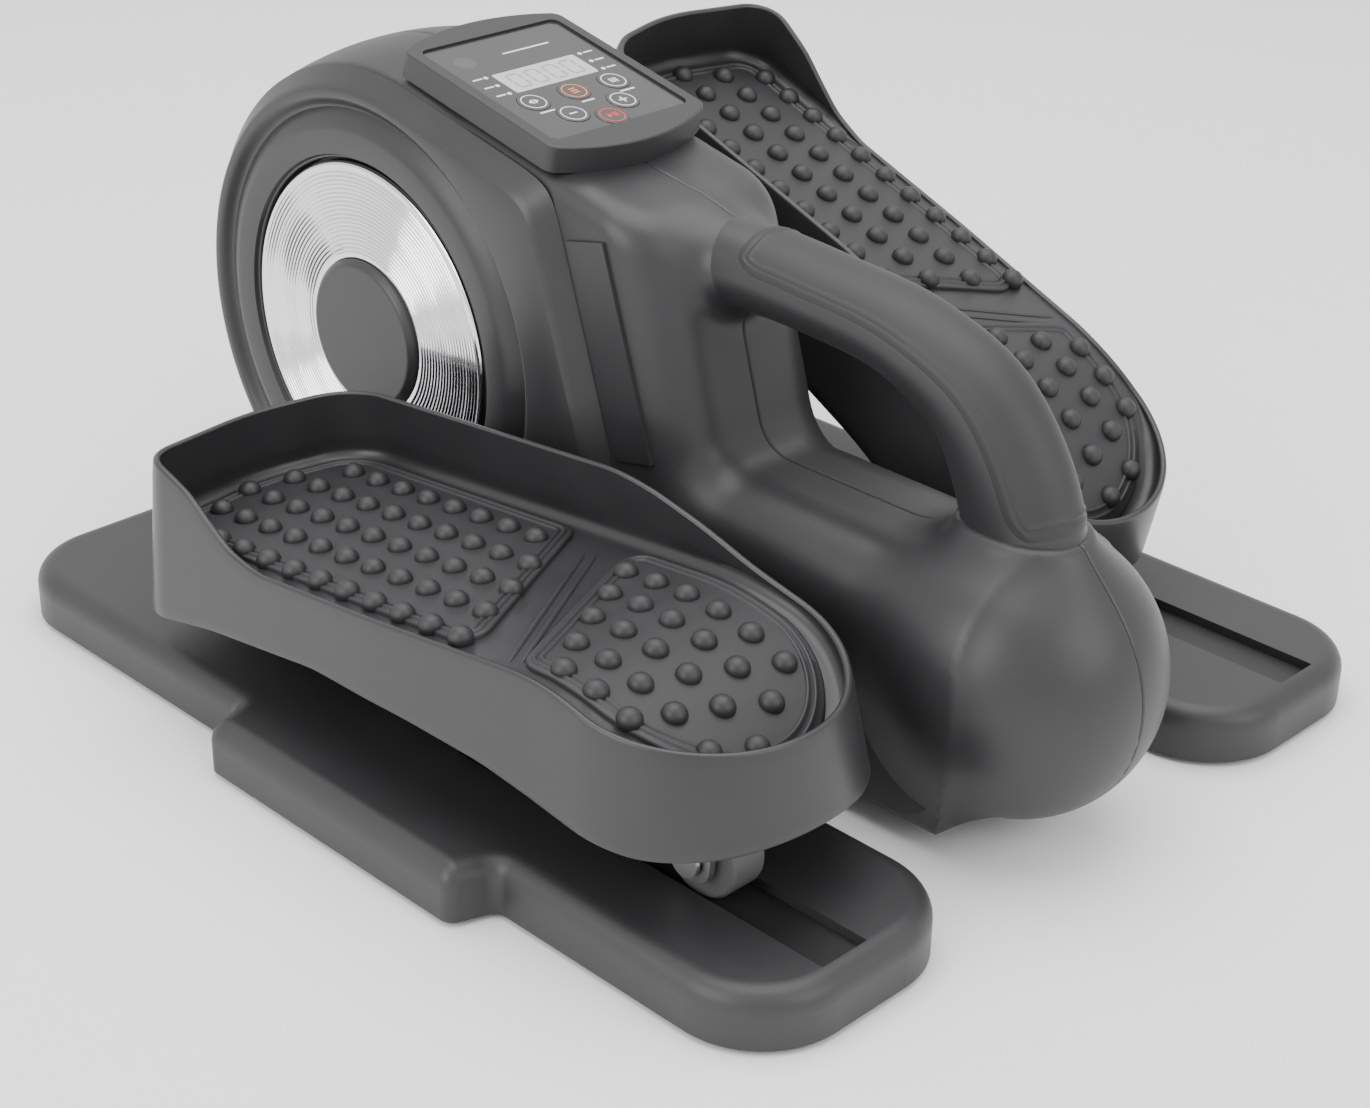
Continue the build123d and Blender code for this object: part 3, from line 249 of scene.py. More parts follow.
def rounded(corners: list[tuple[float, float, float]], spacing: float = 2.5) -> np.ndarray:
    """Closed outline from (x, y, radius) corners, sampled evenly.

    Args:
        corners: the corners in order.
        spacing: distance between points.

    Returns:
        (n, 2) points.
    """
    path = []
    count = len(corners)
    for i, (x, y, radius) in enumerate(corners):
        here = np.array([x, y], float)
        back = np.array(corners[i - 1][:2], float) - here
        onward = np.array(corners[(i + 1) % count][:2], float) - here
        back /= np.linalg.norm(back)
        onward /= np.linalg.norm(onward)
        half = math.acos(float(np.clip(back @ onward, -1, 1))) / 2
        if radius <= 0 or half > 1.565:
            path.append(here)
            continue
        middle = (back + onward) / np.linalg.norm(back + onward)
        centre = here + middle * radius / math.sin(half)
        start, end = here + back * radius / math.tan(half), here + onward * radius / math.tan(half)
        a0 = math.atan2(*(start - centre)[::-1])
        a1 = math.atan2(*(end - centre)[::-1])
        sweep = (a1 - a0 + math.pi) % (2 * math.pi) - math.pi
        for t in np.linspace(0, 1, max(3, int(abs(sweep) * radius / 1.5) + 2)):
            path.append(centre + radius * np.array([math.cos(a0 + sweep * t), math.sin(a0 + sweep * t)]))
    loop = np.array(path + path[:1])
    length = np.concatenate([[0], np.cumsum(np.linalg.norm(np.diff(loop, axis=0), axis=1))])
    at = np.linspace(0, length[-1], max(24, int(length[-1] / spacing)), endpoint=False)
    return np.stack([np.interp(at, length, loop[:, k]) for k in range(2)], 1)


def outward(loop: np.ndarray) -> np.ndarray:
    """Unit normals of a closed outline, pointing out of it.

    Args:
        loop: (n, 2) points.

    Returns:
        (n, 2) normals.
    """
    tangent = np.roll(loop, -1, 0) - np.roll(loop, 1, 0)
    normal = np.stack([tangent[:, 1], -tangent[:, 0]], 1)
    normal /= np.linalg.norm(normal, axis=1, keepdims=True)
    area = np.sum(loop[:, 0] * np.roll(loop[:, 1], -1) - loop[:, 1] * np.roll(loop[:, 0], -1))
    return normal if area > 0 else -normal


def plate(loop: np.ndarray, z0: float, z1: float) -> tuple[np.ndarray, list]:
    """Closed slab over an outline.

    Args:
        loop: (n, 2) outline.
        z0: underside.
        z1: top.

    Returns:
        Points and faces.
    """
    count = len(loop)
    centre = loop.mean(0)
    shares = ((ALMOST_POINT, z0), (1.0, z0), (1.0, z1), (0.5, z1), (ALMOST_POINT, z1))
    points = np.concatenate([
        np.column_stack([centre + (loop - centre) * share, np.full(count, z)]) for share, z in shares])
    faces = [list(face) for face in grid_faces(len(shares), count)]
    faces.append(list(range(count))[::-1])
    faces.append(list(range(len(points) - count, len(points))))
    return points, faces


def lathe(profile: list[tuple[float, float]], y: float, z: float, sign: int, steps: int) -> tuple:
    """Closed turned ring about an axis along X.

    Args:
        profile: closed loop of (radius, distance from the mid-plane).
        y: axis Y.
        z: axis Z.
        sign: side of the machine.
        steps: points round the axis.

    Returns:
        Points and faces.
    """
    turn = np.linspace(0, 2 * math.pi, steps, endpoint=False)
    rings = [
        np.column_stack([np.full(steps, out * sign), y + radius * np.cos(turn), z + radius * np.sin(turn)])
        for radius, out in profile]
    return np.concatenate(rings), grid_faces(len(rings), steps, wrap_rows=True)


# ---------------------------------------------------------------- geometry nodes
class NodeTool:
    """A Geometry Nodes group with named inputs that is run once and turned into a plain mesh."""

    def __init__(self, name: str, inputs: dict[str, str]) -> None:
        """Starts an empty group.

        Args:
            name: the group's name.
            inputs: socket kind for each input's name.
        """
        self.group = bpy.data.node_groups.new(name, "GeometryNodeTree")
        self.group.interface.new_socket(name="Geometry", in_out="INPUT", socket_type="NodeSocketGeometry")
        for label, kind in inputs.items():
            self.group.interface.new_socket(name=label, in_out="INPUT", socket_type=kind)
        self.group.interface.new_socket(name="Geometry", in_out="OUTPUT", socket_type="NodeSocketGeometry")
        self.start = self.group.nodes.new("NodeGroupInput")
        self.end = self.group.nodes.new("NodeGroupOutput")

    def node(self, kind: str, **links: object) -> bpy.types.Node:
        """Adds a node.

        Args:
            kind: node type.
            links: for each input, an output socket to link or a value to set.

        Returns:
            The node.
        """
        made = self.group.nodes.new(kind)
        for label, source in links.items():
            socket = made.inputs[label.replace("_", " ")]
            if isinstance(source, bpy.types.NodeSocket):
                self.group.links.new(source, socket)
            else:
                socket.default_value = source
        return made

    def close(self, shape: bpy.types.NodeSocket) -> None:
        """Realises the instances, sets the material and ends the group.

        Args:
            shape: the finished geometry.
        """
        real = self.node("GeometryNodeRealizeInstances", Geometry=shape)
        finish = self.start.outputs["Material"]
        dressed = self.node("GeometryNodeSetMaterial", Geometry=real.outputs[0], Material=finish)
        self.group.links.new(dressed.outputs[0], self.end.inputs["Geometry"])

    def run(self, piece: bpy.types.Object, values: dict[str, object]) -> bpy.types.Object:
        """Runs the group on a piece and keeps the result as its plain mesh.

        Args:
            piece: the object to work on.
            values: a value for each named input.

        Returns:
            The same object.
        """
        modifier = piece.modifiers.new(self.group.name, "NODES")
        modifier.node_group = self.group
        for item in self.group.interface.items_tree:
            if item.in_out == "INPUT" and item.name in values:
                modifier[item.identifier] = values[item.name]
        ready = piece.evaluated_get(bpy.context.evaluated_depsgraph_get())
        mesh = bpy.data.meshes.new_from_object(ready)
        piece.modifiers.remove(modifier)
        piece.data = mesh
        mesh.shade_smooth()
        mesh.set_sharp_from_angle(angle=math.radians(SHARP_DEG))
        return piece


def bump_tool() -> NodeTool:
    """Group that puts a massage dome on every point marked as a stud.

    Returns:
        The tool.
    """
    tool = NodeTool("Massage bumps", {
        "Radius": "NodeSocketFloat", "Height": "NodeSocketFloat", "Seed": "NodeSocketInt",
        "Material": "NodeSocketMaterial"})
    mark = tool.node("GeometryNodeInputNamedAttribute", Name="stud")
    split = tool.node("GeometryNodeSeparateGeometry", Geometry=tool.start.outputs["Geometry"],
                      Selection=mark.outputs["Attribute"])
    ball = tool.node("GeometryNodeMeshUVSphere", Segments=24, Rings=14, Radius=tool.start.outputs["Radius"])
    ratio = tool.node("ShaderNodeMath")
    ratio.operation = "DIVIDE"
    tool.group.links.new(tool.start.outputs["Height"], ratio.inputs[0])
    tool.group.links.new(tool.start.outputs["Radius"], ratio.inputs[1])
    squash = tool.node("ShaderNodeCombineXYZ", X=1.0, Y=1.0, Z=ratio.outputs[0])
    dome = tool.node("GeometryNodeTransform", Geometry=ball.outputs[0], Scale=squash.outputs[0])
    up = tool.node("GeometryNodeInputNamedAttribute", Name="stud_up")
    up.data_type = "FLOAT_VECTOR"
    aim = tool.node("FunctionNodeAlignRotationToVector", Vector=up.outputs["Attribute"])
    aim.axis = "Z"
    size = tool.node("FunctionNodeRandomValue", Seed=tool.start.outputs["Seed"])
    size.inputs[2].default_value = 0.985
    size.inputs[3].default_value = 1.015
    studs = tool.node("GeometryNodeInstanceOnPoints", Points=split.outputs["Selection"],
                      Instance=dome.outputs[0], Rotation=aim.outputs[0], Scale=size.outputs[1])
    both = tool.node("GeometryNodeJoinGeometry")
    tool.group.links.new(studs.outputs[0], both.inputs[0])
    tool.group.links.new(split.outputs["Inverted"], both.inputs[0])
    tool.close(both.outputs[0])
    return tool


def groove_tool() -> NodeTool:
    """Group that presses concentric grooves into the face of a turned ring.

    Returns:
        The tool.
    """
    tool = NodeTool("Concentric grooves", {
        "Axis": "NodeSocketVector", "Inner": "NodeSocketFloat", "Outer": "NodeSocketFloat",
        "Face": "NodeSocketFloat", "Count": "NodeSocketFloat", "Depth": "NodeSocketFloat",
        "Material": "NodeSocketMaterial"})
    links = tool.group.links

    def reckon(operation: str, first: object, second: object = 0.0) -> bpy.types.NodeSocket:
        """Adds one arithmetic node.

        Args:
            operation: the node's operation.
            first: a socket or a number.
            second: a socket or a number.

        Returns:
            The node's output.
        """
        made = tool.group.nodes.new("ShaderNodeMath")
        made.operation = operation
        for socket, source in zip(made.inputs, (first, second)):
            if isinstance(source, bpy.types.NodeSocket):
                links.new(source, socket)
            else:
                socket.default_value = source
        return made.outputs[0]

    place = tool.node("GeometryNodeInputPosition")
    away = tool.node("ShaderNodeVectorMath")
    away.operation = "SUBTRACT"
    links.new(place.outputs[0], away.inputs[0])
    links.new(tool.start.outputs["Axis"], away.inputs[1])
    parts = tool.node("ShaderNodeSeparateXYZ", Vector=away.outputs[0])
    radius = reckon("SQRT", reckon("ADD", reckon("MULTIPLY", parts.outputs["Y"], parts.outputs["Y"]),
                                   reckon("MULTIPLY", parts.outputs["Z"], parts.outputs["Z"])))
    span = reckon("SUBTRACT", tool.start.outputs["Outer"], tool.start.outputs["Inner"])
    along = reckon("DIVIDE", reckon("SUBTRACT", radius, tool.start.outputs["Inner"]), span)
    inside = reckon("MULTIPLY", reckon("GREATER_THAN", along, 0.0), reckon("LESS_THAN", along, 1.0))
    front = reckon("GREATER_THAN", reckon("ABSOLUTE", parts.outputs["X"]), tool.start.outputs["Face"])
    wave = reckon("ABSOLUTE", reckon("SINE", reckon("MULTIPLY", reckon("MULTIPLY", along, math.pi),
                                                    tool.start.outputs["Count"])))
    deep = reckon("MULTIPLY", wave, tool.start.outputs["Depth"])
    press = reckon("MULTIPLY", reckon("MULTIPLY", deep, inside), front)
    signed = reckon("MULTIPLY", press, reckon("MULTIPLY", reckon("SIGN", parts.outputs["X"]), -1.0))
    shift = tool.node("ShaderNodeCombineXYZ", X=signed)
    moved = tool.node(
        "GeometryNodeSetPosition", Geometry=tool.start.outputs["Geometry"], Offset=shift.outputs[0])
    tool.close(moved.outputs[0])
    return tool


# ---------------------------------------------------------------- where things are
@dataclass
class Layout:
    """Places read from the frame, in millimetres."""

    crank_y: float = 0.0
    crank_z: float = 0.0
    pedals: dict = field(default_factory=dict)

    @classmethod
    def read(cls) -> "Layout":
        """Reads the crank axis and both trays' places from the frame.

        Returns:
            The layout.
        """
        low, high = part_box("crank_axle")
        found = cls(crank_y=(low[1] + high[1]) / 2 / MM, crank_z=(low[2] + high[2]) / 2 / MM)
        rest_lift = math.atan2(Tray.pin_up, Tray.pin_along)
        for side in Side:
            a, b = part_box(f"{side.word}_roller_axle")
            c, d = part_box(f"{side.word}_pedal_pin")
            roller = np.array([(a[1] + b[1]) / 2, (a[2] + b[2]) / 2]) / MM
            pin = np.array([(c[1] + d[1]) / 2, (c[2] + d[2]) / 2]) / MM
            tilt = math.atan2(pin[1] - roller[1], pin[0] - roller[0]) - rest_lift
            found.pedals[side] = (roller[0], roller[1], tilt)
        return found

    def ahead(self, distance: float) -> float:
        """Y of a point on the user's side of the crank axis.

        Args:
            distance: how far from the axis.

        Returns:
            The Y coordinate.
        """
        return self.crank_y - distance

    def tray_place(self, side: Side, local: np.ndarray) -> np.ndarray:
        """Moves (out, along, up) tray points to their place at rest.

        Args:
            side: which pedal.
            local: (n, 3) points.

        Returns:
            (n, 3) points in the row frame.
        """
        roller_y, roller_z, tilt = self.pedals[side]
        y = roller_y + local[:, 1] * math.cos(tilt) - local[:, 2] * math.sin(tilt)
        z = roller_z + local[:, 1] * math.sin(tilt) + local[:, 2] * math.cos(tilt)
        return np.column_stack([local[:, 0] * side.value, y, z])


def soft_line(points: list[tuple[float, float]], blur: float = 14.0) -> Callable[[np.ndarray], np.ndarray]:
    """A smooth height line through (along, height) points.

    Args:
        points: the line's corners, from the toe to the heel.
        blur: how far the corners are eased.

    Returns:
        A function from along to height.
    """
    points = sorted(points)
    at = np.arange(points[0][0] - 60, points[-1][0] + 60, 1.0)
    height = np.interp(at, [p[0] for p in points], [p[1] for p in points])
    kernel = np.hanning(int(2 * blur) + 1)
    eased = np.convolve(np.pad(height, len(kernel) // 2, mode="edge"), kernel / kernel.sum(), mode="valid")
    return lambda along: np.interp(along, at, eased)


# ---------------------------------------------------------------- pedals
@dataclass
class Tray:
    """A foot tray, in its own frame: out, along towards the toe, up from the roller axle."""

    pin_along: float = 286.5
    pin_up: float = 46.8
    inner: float = 79.5
    width: float = 103.0
    toe: float = 280.5
    heel: float = -28.5
    bed_up: float = 68.2
    bed_level_end: float = 58.6
    bed_drop_r: float = 125.0
    rim_up: float = 100.2
    side_rim_up: float = 68.7
    wall: float = 3.0
    flare: float = 0.135
    boss_r: float = 13.0
    boss_from: float = 67.5
    boss_to: float = 106.0

    def outline(self, grow: float = 0.0) -> np.ndarray:
        """Plan of the foot space at the rim.

        Returns:
            (n, 2) points as (out, along).
        """
        outer = self.inner + self.width
        return rounded([
            (self.inner - grow, self.toe - 9 + grow, 24.0 + grow),
            (self.inner + self.width * 0.45, self.toe + 1 + grow, 90.0),
            (outer + 1 + grow, self.toe - 7 + grow, 15.0 + grow),
            (outer - 1 + grow, self.toe - 150, 300.0),
            (outer - 5 + grow, self.heel + 70, 200.0),
            (outer - 6 + grow, self.heel - grow, 48.0),
            (self.inner + 1 - grow, self.heel - grow, 48.0),
            (self.inner - grow, self.heel + 80, 200.0),
        ])

    def bed(self, along: np.ndarray, lift: float = 0.0) -> np.ndarray:
        """Height of the bed.

        Args:
            along: places along the tray.
            lift: how far above the bed's surface.

        Returns:
            The heights.
        """
        drop = np.clip(self.bed_level_end - along, 0, self.bed_drop_r * 0.9)
        radius = self.bed_drop_r + lift
        return self.bed_up - self.bed_drop_r + np.sqrt(radius ** 2 - drop ** 2)

    def rim(self, out: np.ndarray, along: np.ndarray) -> np.ndarray:
        """Height of the rim: high along the inner side and round the toe, low along the outer side.

        Args:
            out: distances from the mid-plane.
            along: places along the tray.

        Returns:
            The heights.
        """
        up, low, level, toe = self.rim_up, self.side_rim_up, self.bed_level_end, self.toe
        inner = soft_line([
            (toe + 40, up), (level + 50, up), (level + 30, up - 4), (level + 5, up - 13),
            (level - 19, up - 24), (level - 60, up - 38), (self.heel, up - 49), (self.heel - 40, up - 56)])
        outer = soft_line([
            (toe + 40, up), (toe - 16, up), (toe - 37, up - 8), (toe - 51, up - 17.5), (toe - 64, up - 25.5),
            (toe - 79, low + 2), (toe - 94, low), (level + 10, low), (level - 30, low - 3),
            (level - 60, low - 11), (self.heel, low - 17), (self.heel - 40, low - 24)], 9.0)
        share = np.clip((out - self.inner - self.width * 0.42) / (self.width * 0.16), 0, 1)
        share = share * share * (3 - 2 * share)
        height = inner(along) * (1 - share) + np.minimum(outer(along), inner(along) + 1.0) * share
        return np.maximum(height, self.bed(along) + 1.8)

    def skirt(self, along: np.ndarray) -> np.ndarray:
        """Height of the lower edge.

        Args:
            along: places along the tray.

        Returns:
            The heights.
        """
        toe, level = self.toe, self.bed_level_end
        return soft_line([
            (toe + 40, 31.0), (toe + 8, 32.7), (toe - 52, 38.7), (toe - 117, 40.7), (level + 50, 35.7),
            (level + 10, 30.7), (level - 30, 21.7), (level - 60, 15.2), (level - 80, 15.2),
            (self.heel - 14, 22.0), (self.heel - 40, 31.0)], 12.0)(along)

    def build(self, side: Side, layout: Layout) -> bpy.types.Object:
        """Builds the tray as one closed shell with its pin boss.

        Args:
            side: which pedal.
            layout: places from the frame.

        Returns:
            The tray.
        """
        loop = self.outline()
        normal = outward(loop)
        rim = self.rim(loop[:, 0], loop[:, 1])
        skirt = self.skirt(loop[:, 1])
        bed = self.bed(loop[:, 1])
        half = self.wall / 2
        middle = self.inner + self.width / 2
        spine = np.column_stack([
            np.full(len(loop), middle), np.clip(loop[:, 1], self.heel + 48, self.toe - 48)])

        def ring(grow: np.ndarray, up: np.ndarray) -> np.ndarray:
            """One ring of the shell.

            Args:
                grow: how far out from the rim line.
                up: heights.

            Returns:
                (n, 3) points.
            """
            flat = loop + normal * np.reshape(grow, (-1, 1))
            return np.column_stack([flat, up])

        def shift(up: np.ndarray) -> np.ndarray:
            """How far the wall leans out.

            Args:
                up: heights.

            Returns:
                The distances.
            """
            return (self.rim_up - up) * self.flare

        def cap(outer_ring: np.ndarray, lift: float, steps: int = 14) -> list[np.ndarray]:
            """Rings that close a bed surface onto its spine.

            Args:
                outer_ring: the ring to start from.
                lift: height above the bed's surface.
                steps: number of rings.

            Returns:
                The rings.
            """
            made = []
            for t in np.linspace(0, 1, steps + 1)[1:]:
                flat = outer_ring[:, :2] * (1 - t) + spine * t
                made.append(np.column_stack([flat, self.bed(flat[:, 1], lift)]))
            return made

        rings = []
        inner_foot = shift(bed)
        soften = np.clip(rim - half - bed, 0.2, 5.0)
        for turn in np.linspace(0, math.pi / 2, 6):
            grow = inner_foot - soften * (1 - math.sin(turn))
            rings.append(ring(grow, bed + soften * (1 - math.cos(turn))))
        rings = cap(rings[0], 0.0)[::-1] + rings
        for t in np.linspace(0, 1, 8)[1:]:
            up = (bed + soften) * (1 - t) + (rim - half) * t
            rings.append(ring(shift(up), up))
        for turn in np.linspace(0, math.pi, 9)[1:]:
            rings.append(ring(
                shift(rim) + half - half * math.cos(turn), rim - half + half * math.sin(turn)))
        for t in np.linspace(0, 1, 14)[1:]:
            up = (rim - half) * (1 - t) + (skirt + 1) * t
            rings.append(ring(shift(up) + self.wall, up))
        rings.append(ring(shift(skirt) + self.wall - 0.4, skirt + 0.25))
        rings.append(ring(shift(skirt) + self.wall - 1.2, skirt))
        rings.append(ring(shift(skirt) + 0.6, skirt))
        rings.append(ring(shift(skirt), skirt + 0.6))
        under = self.bed(loop[:, 1], -self.wall)
        rings.append(ring(shift(under), np.maximum(under, skirt + 0.8)))
        rings += cap(rings[-1], -self.wall)
        points = layout.tray_place(side, np.concatenate(rings))
        faces = [list(f) for f in grid_faces(len(rings), len(loop))]
        profile = [(self.boss_r - 1.5, self.boss_from), (self.boss_r - 0.4, self.boss_from + 0.4),
                   (self.boss_r, self.boss_from + 1.5), (self.boss_r, self.boss_to), (ON_AXIS, self.boss_to),
                   (ON_AXIS, self.boss_from)]
        local, boss_faces = lathe(profile, 0.0, 0.0, 1, 64)
        local = local + np.array([0.0, self.pin_along, self.pin_up])
        faces += [[n + len(points) for n in f] for f in boss_faces]
        points = np.concatenate([points, layout.tray_place(side, local)])
        piece = make_piece(f"{side.word} foot tray", points, faces, TRAY_PLASTIC)
        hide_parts(f"{side.word}_pedal_tray")
        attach(piece, f"{side.word}_pedal")
        return piece


@dataclass
class Mat:
    """One rubber foot mat with raised border lines and rows of massage bumps."""

    name: str
    corners: list
    rows: list
    pitch: float
    thick: float = 2.0
    sunk: float = 0.4
    spine_in: float = 45.0
    line_at: tuple = (3.2, 6.0)
    line_half: float = 1.0
    line_up: float = 0.8
    bump_r: float = 5.0
    bump_up: float = 4.6

    def build(self, side: Side, tray: Tray, layout: Layout, tool: NodeTool) -> bpy.types.Object:
        """Builds the mat and runs the bump tool on it.

        Args:
            side: which pedal.
            tray: the tray that it lies on.
            layout: places from the frame.
            tool: the bump tool.

        Returns:
            The mat.
        """
        loop = rounded(self.corners, 2.0)
        normal = outward(loop)
        middle = loop[:, 0].mean()
        low, high = loop[:, 1].min(), loop[:, 1].max()
        along = np.clip(loop[:, 1], low + self.spine_in, max(low + self.spine_in + 1, high - self.spine_in))
        spine = np.column_stack([np.full(len(loop), middle), along])
        profile = [(0.0, -self.sunk), (0.0, self.thick - 0.7), (0.3, self.thick - 0.2), (0.9, self.thick)]
        for at in self.line_at:
            for t in np.linspace(-1, 1, 7):
                rise = self.line_up * math.cos(t * math.pi / 2)
                profile.append((at + t * self.line_half, self.thick + rise))
        profile.append((self.line_at[-1] + 1.6, self.thick))
        rings = []
        for inset, up in profile:
            flat = loop - normal * inset
            rings.append(np.column_stack([flat, tray.bed(flat[:, 1], up)]))
        edge = rings[-1][:, :2]
        for t in np.linspace(0, 1, 13)[1:]:
            flat = edge * (1 - t) + spine * t
            rings.append(np.column_stack([flat, tray.bed(flat[:, 1], self.thick)]))
        underside = []
        for t in np.linspace(1, 0, 13)[:-1]:
            flat = loop * (1 - t) + spine * t
            underside.append(np.column_stack([flat, tray.bed(flat[:, 1], -self.sunk)]))
        rings = underside + rings
        points = layout.tray_place(side, np.concatenate(rings))
        piece = make_piece(f"{side.word} {self.name}", points, grid_faces(len(rings), len(loop)), MAT_RUBBER)
        self.mark_bumps(piece, side, tray, layout)
        tool.run(piece, {"Radius": self.bump_r * MM, "Height": self.bump_up * MM, "Seed": SEED,
                         "Material": MAT_RUBBER.build()})
        node = self.name.replace(" ", "_")
        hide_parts(f"{side.word}_{node}")
        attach(piece, f"{side.word}_pedal")
        return piece

    def mark_bumps(self, piece: bpy.types.Object, side: Side, tray: Tray, layout: Layout) -> None:
        """Adds a marked point, with its upward direction, for every bump.

        Args:
            piece: the mat.
            side: which pedal.
            tray: the tray that it lies on.
            layout: places from the frame.
        """
        local, ups = [], []
        for out, first, count in self.rows:
            for k in range(count):
                along = first + self.pitch * k
                drop = min(max(tray.bed_level_end - along, 0.0), tray.bed_drop_r * 0.9)
                lean = math.asin(drop / tray.bed_drop_r)
                height = float(tray.bed(np.array([along]), self.thick)[0])
                local.append((out, along, height))
                ups.append((0.0, -math.sin(lean), math.cos(lean)))
        base = layout.tray_place(side, np.array(local))
        tip = layout.tray_place(side, np.array(local) + np.array(ups))
        mesh = piece.data
        start = len(mesh.vertices)
        mesh.vertices.add(len(base))
        mesh.attributes.new("stud", "FLOAT", "POINT")
        mesh.attributes.new("stud_up", "FLOAT_VECTOR", "POINT")
        for k, (foot, top) in enumerate(zip(base, tip)):
            mesh.vertices[start + k].co = Vector(foot * MM)
            mesh.attributes["stud"].data[start + k].value = 1.0
            mesh.attributes["stud_up"].data[start + k].vector = Vector(top - foot)
        mesh.update()


FORE_ROWS = [(177.7, 88.6, 11), (157.7, 97.8, 11), (137.7, 106.0, 11), (117.7, 117.9, 10), (97.7, 136.3, 8)]
HEEL_ROWS = [(171.0, 7.8, 3), (155.0, -14.2, 5), (136.5, -19.4, 6), (118.0, -9.2, 6), (100.0, 0.9, 6)]


@dataclass
class Pedal:
    """A complete pedal: tray, two mats and the ribs between them."""

    tray: Tray = field(default_factory=Tray)
    rib_from: tuple = (92.0, 111.0)
    rib_to: tuple = (178.0, 59.1)
    rib_gap: float = 5.0
    rib_r: float = 1.1

    def build(self, side: Side, layout: Layout, tool: NodeTool) -> None:
        """Builds one pedal.

        Args:
            side: which pedal.
            layout: places from the frame.
            tool: the bump tool.
        """
        tray = self.tray
        made = tray.build(side, layout)
        LOG.info("%s: %d faces", made.name, len(made.data.polygons))
        fore = Mat("forefoot mat", [
            (80.5, 131.5, 10), (80.5, 270.5, 22), (126.0, 280.0, 90), (182.0, 272.5, 14), (180.5, 130.5, 0),
            (179.2, 79.0, 10)], FORE_ROWS, 16.65)
        heel = Mat("heel mat", [
            (80.5, 100.0, 10), (178.2, 55.6, 10), (177.0, 41.5, 0), (175.5, -27.5, 47), (81.5, -27.5, 47),
            (80.5, 51.5, 0)], HEEL_ROWS, 16.3)
        for mat in (fore, heel):
            made = mat.build(side, tray, layout, tool)
            LOG.info("%s: %d faces", made.name, len(made.data.polygons))
        self.ribs(side, layout)

    def ribs(self, side: Side, layout: Layout) -> None:
        """Two raised ribs across the bed, between the mats.

        Args:
            side: which pedal.
            layout: places from the frame.
        """
        start, end = np.array(self.rib_from), np.array(self.rib_to)
        onward = (end - start) / np.linalg.norm(end - start)
        beside = np.array([-onward[1], onward[0]])
        turn = np.linspace(0, math.pi, 9)
        rings = []
        for offset in (-self.rib_gap / 2, self.rib_gap / 2):
            for t in np.linspace(0, 1, 25):
                middle = start + (end - start) * t + beside * offset
                thin = math.sqrt(max(0.02, 1 - abs(2 * t - 1) ** 10))
                flat = middle + np.outer(np.cos(turn) * self.rib_r * thin, beside)
                rise = np.sin(turn) * self.rib_r * thin - 0.2
                rings.append(np.column_stack([flat, self.tray.bed(flat[:, 1]) + rise]))
        points = layout.tray_place(side, np.concatenate(rings))
        faces = grid_faces(25, 9)
        faces = [list(f) for f in np.concatenate([faces, faces + 25 * 9])]
        for first in (0, 24 * 9, 25 * 9, 49 * 9):
            faces.append(list(range(first, first + 9)))
        piece = make_piece(f"{side.word} bed ribs", points, faces, TRAY_PLASTIC)
        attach(piece, f"{side.word}_pedal")


# ---------------------------------------------------------------- body shells as a smooth field
def ease(a: np.ndarray, b: np.ndarray, reach: float) -> np.ndarray:
    """Smooth union of two distance fields.

    Args:
        a: first field.
        b: second field.
        reach: how far the blend spreads.

    Returns:
        The joined field.
    """
    h = np.clip(0.5 + 0.5 * (b - a) / reach, 0, 1)
    return b * (1 - h) + a * h - reach * h * (1 - h)


def meet(a: np.ndarray, b: np.ndarray, reach: float) -> np.ndarray:
    """Smooth intersection of two distance fields.

    Args:
        a: first field.
        b: second field.
        reach: how far the blend spreads.

    Returns:
        The shared field.
    """
    return -ease(-a, -b, reach)


def corner(a: np.ndarray, b: np.ndarray, radius: float) -> np.ndarray:
    """Intersection of two half-spaces with a round edge.

    Args:
        a: first field.
        b: second field.
        radius: radius of the edge.

    Returns:
        The shared field.
    """
    u, v = np.maximum(a + radius, 0), np.maximum(b + radius, 0)
    return np.sqrt(u * u + v * v) - radius + np.minimum(np.maximum(a, b) + radius, 0)


